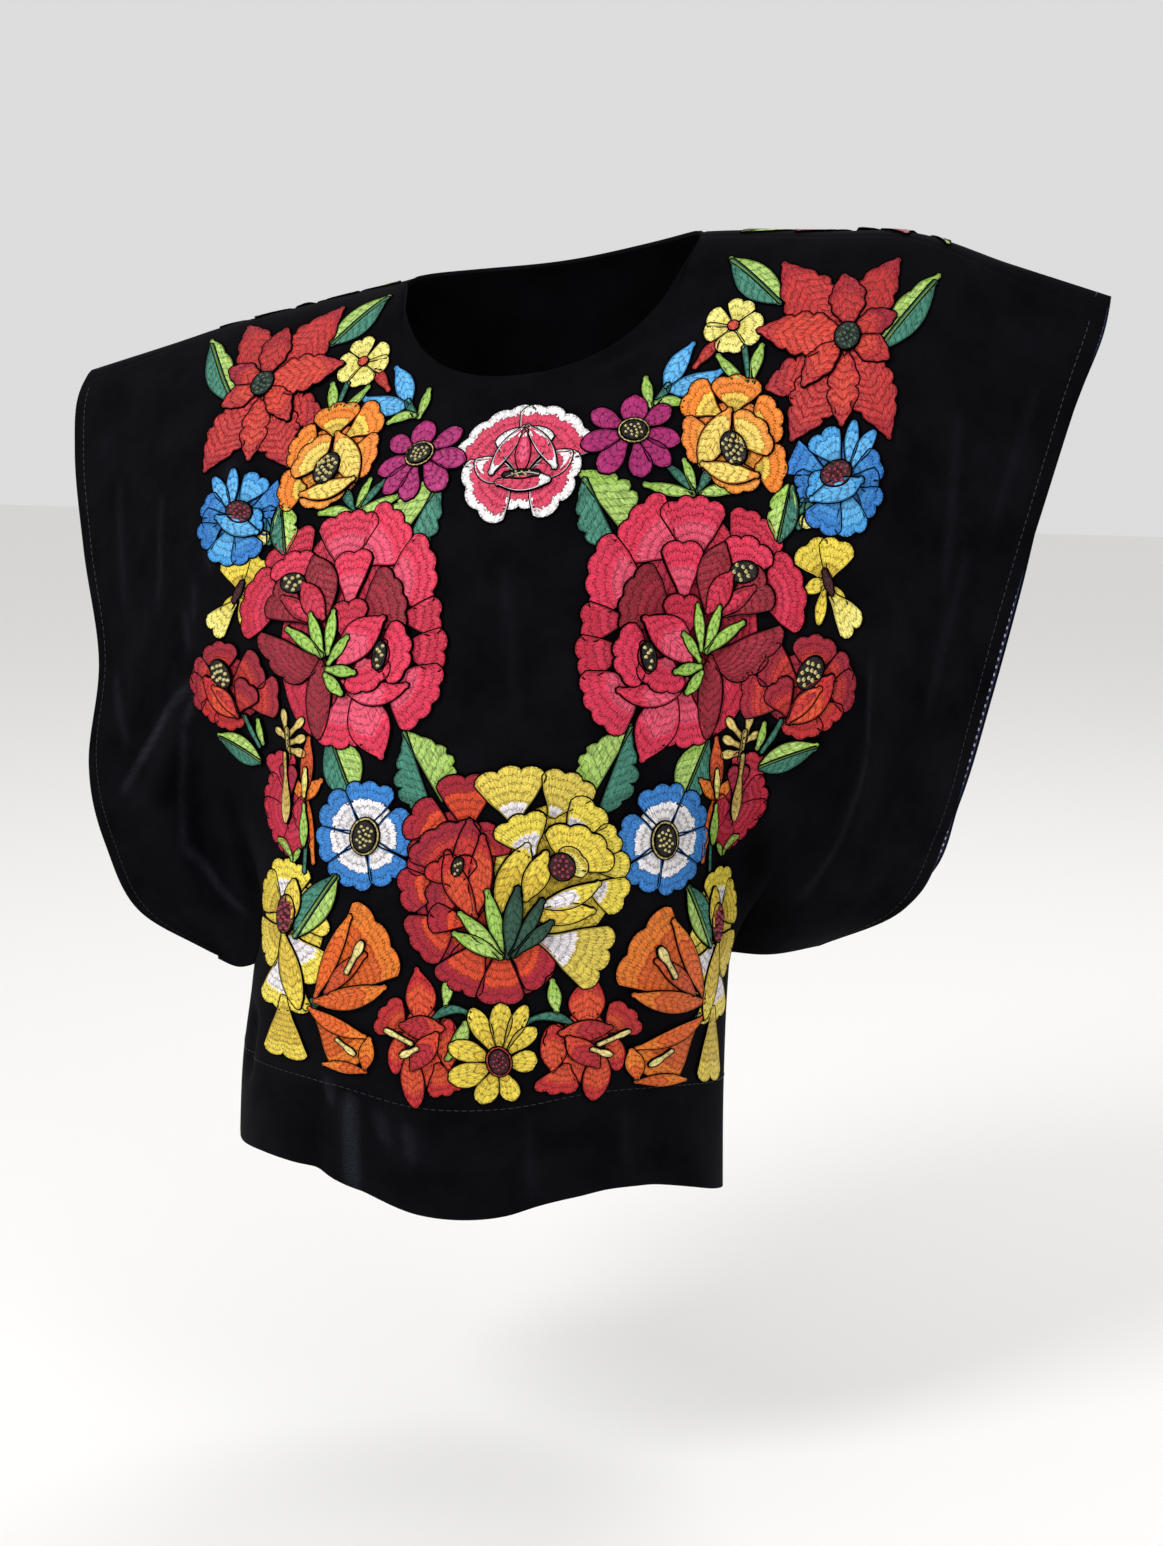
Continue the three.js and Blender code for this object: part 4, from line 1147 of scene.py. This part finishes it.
# Grid of a fan in the cloth plane: points and distance in from its scalloped edge
def fanGrid(row):
    count = int(np.clip(row["long"] * math.radians(row["spread"]) * 2 / sewnCells["along"], 9, 34))
    a = np.linspace(-1, 1, count)[None, :]
    r = np.linspace(fanShape["start"], 1, int(np.clip(row["long"] / sewnCells["inward"], 5, 16)))[:, None]
    wave = np.abs(np.sin(row["lobes"] * math.pi * (a + 1) / 2)) ** fanShape["scallop"]
    cut = 1 - row["notch"] * (1 - wave) * r ** fanShape["fade"]
    reach = (row["long"] - stitchRelief["line"]) * (1 + row["slant"] * a) * cut
    wide = fanShape["narrow"] + (1 - fanShape["narrow"]) * ease(r / fanShape["openBy"])
    angle = np.radians(row["turn"] + row["spread"] * a * wide)
    u = row["across"] + r * reach * np.cos(angle)
    v = row["down"] + r * reach * np.sin(angle)
    along = np.radians(row["spread"]) * a * row["long"] + 0 * r
    return u, v, along, (1 - r) * row["long"] + 0 * a


# Grid of a blade from base to tip; its bands cross it like arrowheads toward the tip
def bladeGrid(row):
    count = int(np.clip(row["long"] / sewnCells["along"], 8, 30))
    t = np.linspace(0.0, 1.0, count)[:, None]
    turn = np.radians(row["turn"] + row["bend"] * (t - 0.5))
    step = row["long"] / (count - 1)
    middle = (turn[1:] + turn[:-1]) / 2
    axisU = row["across"] + np.concatenate([[[0]], np.cumsum(np.cos(middle) * step, axis=0)])
    axisV = row["down"] + np.concatenate([[[0]], np.cumsum(np.sin(middle) * step, axis=0)])
    shift = np.clip(t, 1e-4, 1) ** (math.log(0.5) / math.log(row["belly"]))
    power = np.where(t < row["belly"], bladeShape["base"], row["tip"])
    profile = np.clip(np.sin(math.pi * shift), 1e-4, 1) ** power
    if row["teeth"] > 0:
        saw = np.abs(np.sin(row["teeth"] * math.pi * t)) ** bladeShape["tooth"]
        profile = profile * (1 - bladeShape["cut"] * (1 - saw) * np.sin(math.pi * t))
    left, right = [
        np.maximum(row[part] * profile - stitchRelief["line"], bladeShape["least"]) if row[part] > 0 else 0 * t
        for part in ("left", "right")
    ]
    columns = int(np.clip((row["left"] + row["right"]) / sewnCells["along"], 4, 14))
    s = np.linspace(-1, 1, columns + 1)[None, :]
    share = (s + 1) / 2
    if row["left"] == 0:
        offset, depth = share * right, (1 - share) * right
    elif row["right"] == 0:
        offset, depth = -(1 - share) * left, share * left
    else:
        offset = np.where(s < 0, s * left, s * right)
        depth = np.where(s < 0, (1 + s) * left, (1 - s) * right)
    u = axisU - np.sin(turn) * offset
    v = axisV + np.cos(turn) * offset
    fromTip = (1 - t) * row["long"] - bladeShape["point"] * np.abs(offset)
    return u, v, offset, np.maximum(fromTip, np.minimum(depth, bladeShape["edgeDepth"]))


# Places on the cloth of points given from a round shape's own middle
def turnedPlace(row, x, y):
    turn = math.radians(row["turn"])
    u = row["across"] + x * math.cos(turn) - y * math.sin(turn)
    return u, row["down"] + x * math.sin(turn) + y * math.cos(turn)


def discGrid(row):
    count = int(np.clip((row["wide"] + row["high"]) / sewnCells["round"], 14, 40))
    a = np.linspace(0, 2 * math.pi, count + 1)[None, :]
    r = np.linspace(0, 1, int(np.clip(row["wide"] / sewnCells["ring"], 4, 14)))[:, None]
    x = r * (row["wide"] - stitchRelief["line"]) * np.cos(a)
    y = r * (row["high"] - stitchRelief["line"]) * np.sin(a)
    return (*turnedPlace(row, x, y), a * row["high"] + 0 * r, (1 - r) * row["high"] + 0 * a)


# Numbers of a grid's points, and the corners of each of its cells
def gridCells(shape):
    index = np.arange(shape[0] * shape[1]).reshape(shape)
    corners = index[:-1, :-1], index[1:, :-1], index[1:, 1:], index[:-1, 1:]
    return index, np.stack(corners, axis=-1).reshape(-1, 4)


# Turns a grid into a padded patch of stitches with a dark line round it, in cloth coordinates
def paddedPatch(u, v, along, depth, level, closed):
    index, cells = gridCells(u.shape)
    if closed:
        edge = index[-1, :-1]
    else:
        edge = np.concatenate([index[0, :-1], index[:-1, -1], index[-1, :0:-1], index[:0:-1, 0]])
    u, v, along, depth = u.ravel(), v.ravel(), along.ravel(), depth.ravel() + stitchRelief["line"]
    ringU, ringV = u[edge], v[edge]
    du = np.roll(ringU, -1) - np.roll(ringU, 1)
    dv = np.roll(ringV, -1) - np.roll(ringV, 1)
    size = np.maximum(np.hypot(du, dv), 1e-6)
    area = np.sum(ringU * np.roll(ringV, -1) - np.roll(ringU, -1) * ringV)
    outU, outV = dv / size * np.sign(area), -du / size * np.sign(area)
    toEdge = np.hypot(u[:, None] - ringU[None, :], v[:, None] - ringV[None, :]).min(axis=1)
    base = level * stitchRelief["layer"] + stitchRelief["lift"]
    rounding = 1 - np.exp(-toEdge / stitchRelief["domeReach"])
    height = base + stitchRelief["pad"] + stitchRelief["dome"] * rounding
    parts = [[u, v, along, depth, height]]
    count = len(edge)
    rims = []
    last, start = edge, len(u)
    line = stitchRelief["line"]
    top = base + stitchRelief["pad"] + stitchRelief["dome"]
    # Rings round the edge: how far out, how far in they count as, and how high they lie
    for out, inside, lift in (
        (0.45 * line, 0.55 * line, top - 0.5 * stitchRelief["dome"]), (line, 0.0, top),
        (2.2 * line, -1.2 * line, top + 0.02), (2.3 * line, -1.2 * line, base - stitchRelief["skirt"]),
    ):
        ringDepth = depth[edge] - line + inside if inside > 0 else np.full(count, inside)
        parts.append([ringU + outU * out, ringV + outV * out, along[edge], ringDepth, np.full(count, lift)])
        ring = np.arange(start, start + count)
        rims.append(np.stack([last, ring, np.roll(ring, -1), np.roll(last, -1)], axis=1))
        last, start = ring, start + count
    merged = [np.concatenate(column) for column in zip(*parts)]
    return (*merged, np.concatenate([cells] + rims))


# Seeds: small domes of thread set in a spiral within an oval
def knotPatches(row, level):
    wide = min(seed["share"] * math.sqrt(row["wide"] * row["high"] / row["count"]), seed["wide"])
    base = level * stitchRelief["layer"] + stitchRelief["lift"] + stitchRelief["pad"] + stitchRelief["dome"]
    a = np.linspace(0, 2 * math.pi, seed["sides"] + 1)[None, :]
    r = np.array(seed["rings"])[:, None]
    rise = np.array(seed["rise"])[:, None] * seed["high"]
    found = []
    for k in range(int(row["count"])):
        reach = math.sqrt((k + 0.6) / (row["count"] + 0.4))
        spin = k * math.radians(seed["turn"])
        x, y = row["wide"] * reach * math.cos(spin), row["high"] * reach * math.sin(spin)
        centreU, centreV = turnedPlace(row, x, y)
        u = centreU + r * wide * np.cos(a)
        v = centreV + r * wide * np.sin(a)
        depth = np.full(u.size, seed["depth"])
        along, height = a * 1.2 + 0 * r, rise + base + 0 * a
        found.append((u.ravel(), v.ravel(), along.ravel(), depth, height.ravel(), gridCells(u.shape)[1]))
    return found


# Patches that a row of a motif becomes
def rowPatches(row, level):
    if row["kind"] == "knots":
        return knotPatches(row, level)
    if row["kind"] == "disc":
        return [paddedPatch(*discGrid(row), level, True)]
    grid = fanGrid(row) if row["kind"] == "fan" else bladeGrid(row)
    return [paddedPatch(*grid, level, False)]


# One motif sewn on a face; side -1 is its mirror image, moved and made wider or narrower
def motifPiece(name, motif, face, side, higher):
    columns = [[] for _ in range(5)]
    faces, edgeShades, baseShades, meets = [], [], [], []
    start = 0
    for order, row in enumerate(motif["rows"]):
        edge, base, meet = shades[row["shade"]]
        # Each shape a little lighter or darker than the next, in an order that looks random
        lighter = 0.93 + 0.14 * ((math.sin(order * 12.9898) * 43758.5453) % 1)
        for patch in rowPatches(row, row["level"] + stitchRelief["order"] * order):
            for column, part in zip(columns, patch):
                column.append(part)
            faces.append(patch[5] + start)
            count = len(patch[0])
            edgeShades.append(np.tile(colour(edge, lighter), (count, 1)))
            baseShades.append(np.tile(colour(base, lighter), (count, 1)))
            meets.append(np.full(count, meet / 1000))
            start += count
    u, v, along, depth, height = [np.concatenate(column) for column in columns]
    height = height + motif["raised"]
    if side < 0:
        moveU, moveV, widthShare = motif["shift"]
        middle = (u.min() + u.max()) / 2
        u, v = 2 * flowerCentre - middle - (u - middle) * widthShare + moveU, v + moveV
    faces = np.concatenate(faces)
    cornerU, cornerV = u[faces], v[faces]
    nextU, nextV = np.roll(cornerU, -1, axis=1), np.roll(cornerV, -1, axis=1)
    wrong = (cornerU * nextV - nextU * cornerV).sum(axis=1) * face < 0
    faces[wrong] = faces[wrong][:, ::-1]
    v = np.maximum(v - higher, 1.0)
    points = onCloth(face, u, v, cloth["thick"] + height)
    piece = meshPiece(name, points, faces.tolist(), np.stack([along, depth], axis=1) / 1000, {
        "meetAt": np.concatenate(meets), "edgeShade": np.concatenate(edgeShades),
        "baseShade": np.concatenate(baseShades),
    })
    # Closes the middle and the seam of round shapes
    joined = bmesh.new()
    joined.from_mesh(piece.data)
    bmesh.ops.remove_doubles(joined, verts=joined.verts, dist=1e-6)
    joined.to_mesh(piece.data)
    joined.free()
    return piece


# The solids name two flowers otherwise, and behind, the motifs at the shoulder lie higher
cadNames = {"violetDaisy": "purpleDaisy", "calla": "upperCalla"}
atShoulder = {"poinsettia", "shoulderLeaves"}
backHigher = 17.0
sewn = []
for face, faceName in faceNames.items():
    for motif in readDesign(design):
        name = motif["name"]
        twins = ((1, "_left"), (-1, "_right")) if motif["shift"] else ((0, ""),)
        for side, sideName in twins:
            higher = 0.0
            if face > 0 and name in atShoulder:
                higher = backHigher + (motif["shift"][1] if side < 0 else 0)
            piece = motifPiece(f"sewn_{faceName}_{name}{sideName}", motif, face, side, higher)
            dress(piece, satin)
            cadNode = f"front_{cadNames.get(name, name)}{sideName}"
            if face < 0 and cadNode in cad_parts:
                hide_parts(cadNode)
            sewn.append(piece)
triangles = sum(sum(len(p.vertices) - 2 for p in piece.data.polygons) for piece in sewn)
print("embroidery made:", len(sewn), "pieces,", triangles, "triangles")

# Machine stitching in black thread: the hem's top line, round the neck and up each sleeve edge
seamStitch = {
    "long": 3.4, "pitch": 4.4, "half": 0.34, "high": 0.3, "neckIn": 7.0, "sleeveIn": 9.0, "shade": "#131317",
    "ends": 2.0, "over": 0.05, "sides": 6, "lineSteps": 200, "hemEnd": 3, "neckEnd": 5, "sleeveEnd": 6,
}
# A stitch's rings along its length, and their girth
stitchRings = {"share": np.array([0.0, 0.12, 0.5, 0.88, 1.0]), "girth": np.array([0.15, 0.8, 1.0, 0.8, 0.15])}
seamThread, tree, shader = newMaterial("blackSewingThread")
place = addNode(tree, "TexCoord", {}).outputs["Object"]
twist = addNode(tree, "TexNoise", {"Vector": place, "Scale": 2500.0})
twisted = addNode(tree, "Mix", {
    "data_type": "RGBA", 0: twist, 6: colour(seamStitch["shade"], 0.6), 7: colour(seamStitch["shade"], 1.6),
})
setNode(tree, shader, {"Base Color": twisted.outputs[2], "Roughness": 0.5})


# A row of stitches along points on the cloth, as small rounded bars
def stitchRow(name, face, u, v):
    steps = np.concatenate([[0], np.cumsum(np.hypot(np.diff(u), np.diff(v)))])
    past = steps[-1] - seamStitch["long"] - seamStitch["ends"]
    starts = np.arange(seamStitch["ends"], past, seamStitch["pitch"])
    sides = seamStitch["sides"]
    around = np.radians(np.arange(0, 360, 360 / sides))
    girth = stitchRings["girth"][:, None]
    last = len(girth) - 1
    points, faces = [], []
    for start in starts:
        along = start + stitchRings["share"] * seamStitch["long"]
        cu, cv = np.interp(along, steps, u), np.interp(along, steps, v)
        du, dv = cu[-1] - cu[0], cv[-1] - cv[0]
        size = math.hypot(du, dv)
        side = seamStitch["half"] * girth * np.cos(around)[None, :]
        up = seamStitch["high"] * girth * np.sin(around)[None, :]
        ringU = cu[:, None] - dv / size * side
        ringV = cv[:, None] + du / size * side
        base = len(points) * sides * (last + 1)
        lift = cloth["thick"] + seamStitch["over"] + up + 0 * ringU
        points.append(onCloth(face, ringU, ringV, lift).reshape(-1, 3))
        for i in range(last):
            for j in range(sides):
                a, b = base + i * sides + j, base + i * sides + (j + 1) % sides
                faces.append([a, a + sides, b + sides, b] if face < 0 else [a, b, b + sides, a + sides])
        first = [base + k for k in range(sides)]
        ends = first, [k + last * sides for k in first][::-1]
        faces += [end if face < 0 else end[::-1] for end in ends]
    piece = meshPiece(name, np.concatenate(points), faces)
    dress(piece, seamThread)
    return piece


# Each face's sheet has its seam stitches sewn on; its flowers were sewn on above
count = seamStitch["lineSteps"]
for face, faceName in faceNames.items():
    reach = cloth["bodyHalf"] - seamStitch["hemEnd"]
    across = np.linspace(-reach, reach, count)
    hemLine = np.full(count, cloth["bodyLength"] - cloth["hemDepth"])
    reach = cloth["neckHalf"] - seamStitch["neckEnd"]
    neck = np.linspace(-reach, reach, count)
    rows = [
        stitchRow(f"hem_stitches_{faceName}", face, across, hemLine),
        stitchRow(f"neck_stitches_{faceName}", face, neck, neckLine(face, neck) + seamStitch["neckIn"]),
    ]
    down = np.linspace(seamStitch["sleeveEnd"], cloth["sleeveDepth"] - seamStitch["sleeveEnd"], count)
    for side, sideName in ((1, "left"), (-1, "right")):
        edge = np.full(count, side * (cloth["halfSpan"] - seamStitch["sleeveIn"]))
        rows.append(stitchRow(f"sleeve_stitches_{faceName}_{sideName}", face, edge, down))
print("seam stitches made")

# Plain pale floor and studio light
stageLook = {"floor": 12.0, "below": 0.16, "shade": "#f4f3f1", "roomLight": 0.72, "aim": (0, 0, -0.3)}
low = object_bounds()[0][2]
bpy.ops.object.select_all(action="DESELECT")
bpy.ops.mesh.primitive_plane_add(size=stageLook["floor"], location=(0, 0, low - stageLook["below"]))
floor = bpy.context.object
floor.name = "floor"
pale, tree, shader = newMaterial("paleFloor")
setNode(tree, shader, {"Base Color": colour(stageLook["shade"]), "Roughness": 0.9})
floor.data.materials.append(pale)

world = bpy.data.worlds.new("paleRoom")
world.use_nodes = True
room = world.node_tree.nodes["Background"]
setNode(world.node_tree, room, {"Color": (1, 1, 1, 1), "Strength": stageLook["roomLight"]})
bpy.context.scene.world = world

lights = table("x y z size power", """
    -1.2 -1.8 1.2 0.9 34
    1.7 -1.5 0.9 1.2 9
    0.2 1.6 1.6 1.4 14
""")
for i in range(len(lights["x"])):
    data = bpy.data.lights.new(f"softLight{i + 1}", "AREA")
    data.shape = "DISK"
    data.size = lights["size"][i]
    data.energy = lights["power"][i]
    lamp = bpy.data.objects.new(data.name, data)
    lamp.location = (lights["x"][i], lights["y"][i], lights["z"][i])
    aim = Vector(stageLook["aim"]) - lamp.location
    lamp.rotation_euler = aim.to_track_quat("-Z", "Y").to_euler()
    bpy.context.collection.objects.link(lamp)

# Camera at the photograph's viewing angle
view = {
    "azimuth": 17.0, "elevation": 10.0, "distance": 1.8, "target": (0.014, 0.0, -0.3045), "lens": 70.0,
    "sensor": 36.0,
}
cameraData = bpy.data.cameras.new("photoView")
cameraData.sensor_width = view["sensor"]
cameraData.lens = view["lens"]
camera = bpy.data.objects.new("photoView", cameraData)
a, e = math.radians(view["azimuth"]), math.radians(view["elevation"])
back = Vector((math.sin(a) * math.cos(e), -math.cos(a) * math.cos(e), math.sin(e)))
camera.location = Vector(view["target"]) + back * view["distance"]
camera.rotation_euler = (-back).to_track_quat("-Z", "Y").to_euler()
bpy.context.collection.objects.link(camera)
bpy.context.scene.camera = camera
bpy.context.scene.view_settings.view_transform = "Standard"
print("floor, lights and camera made")
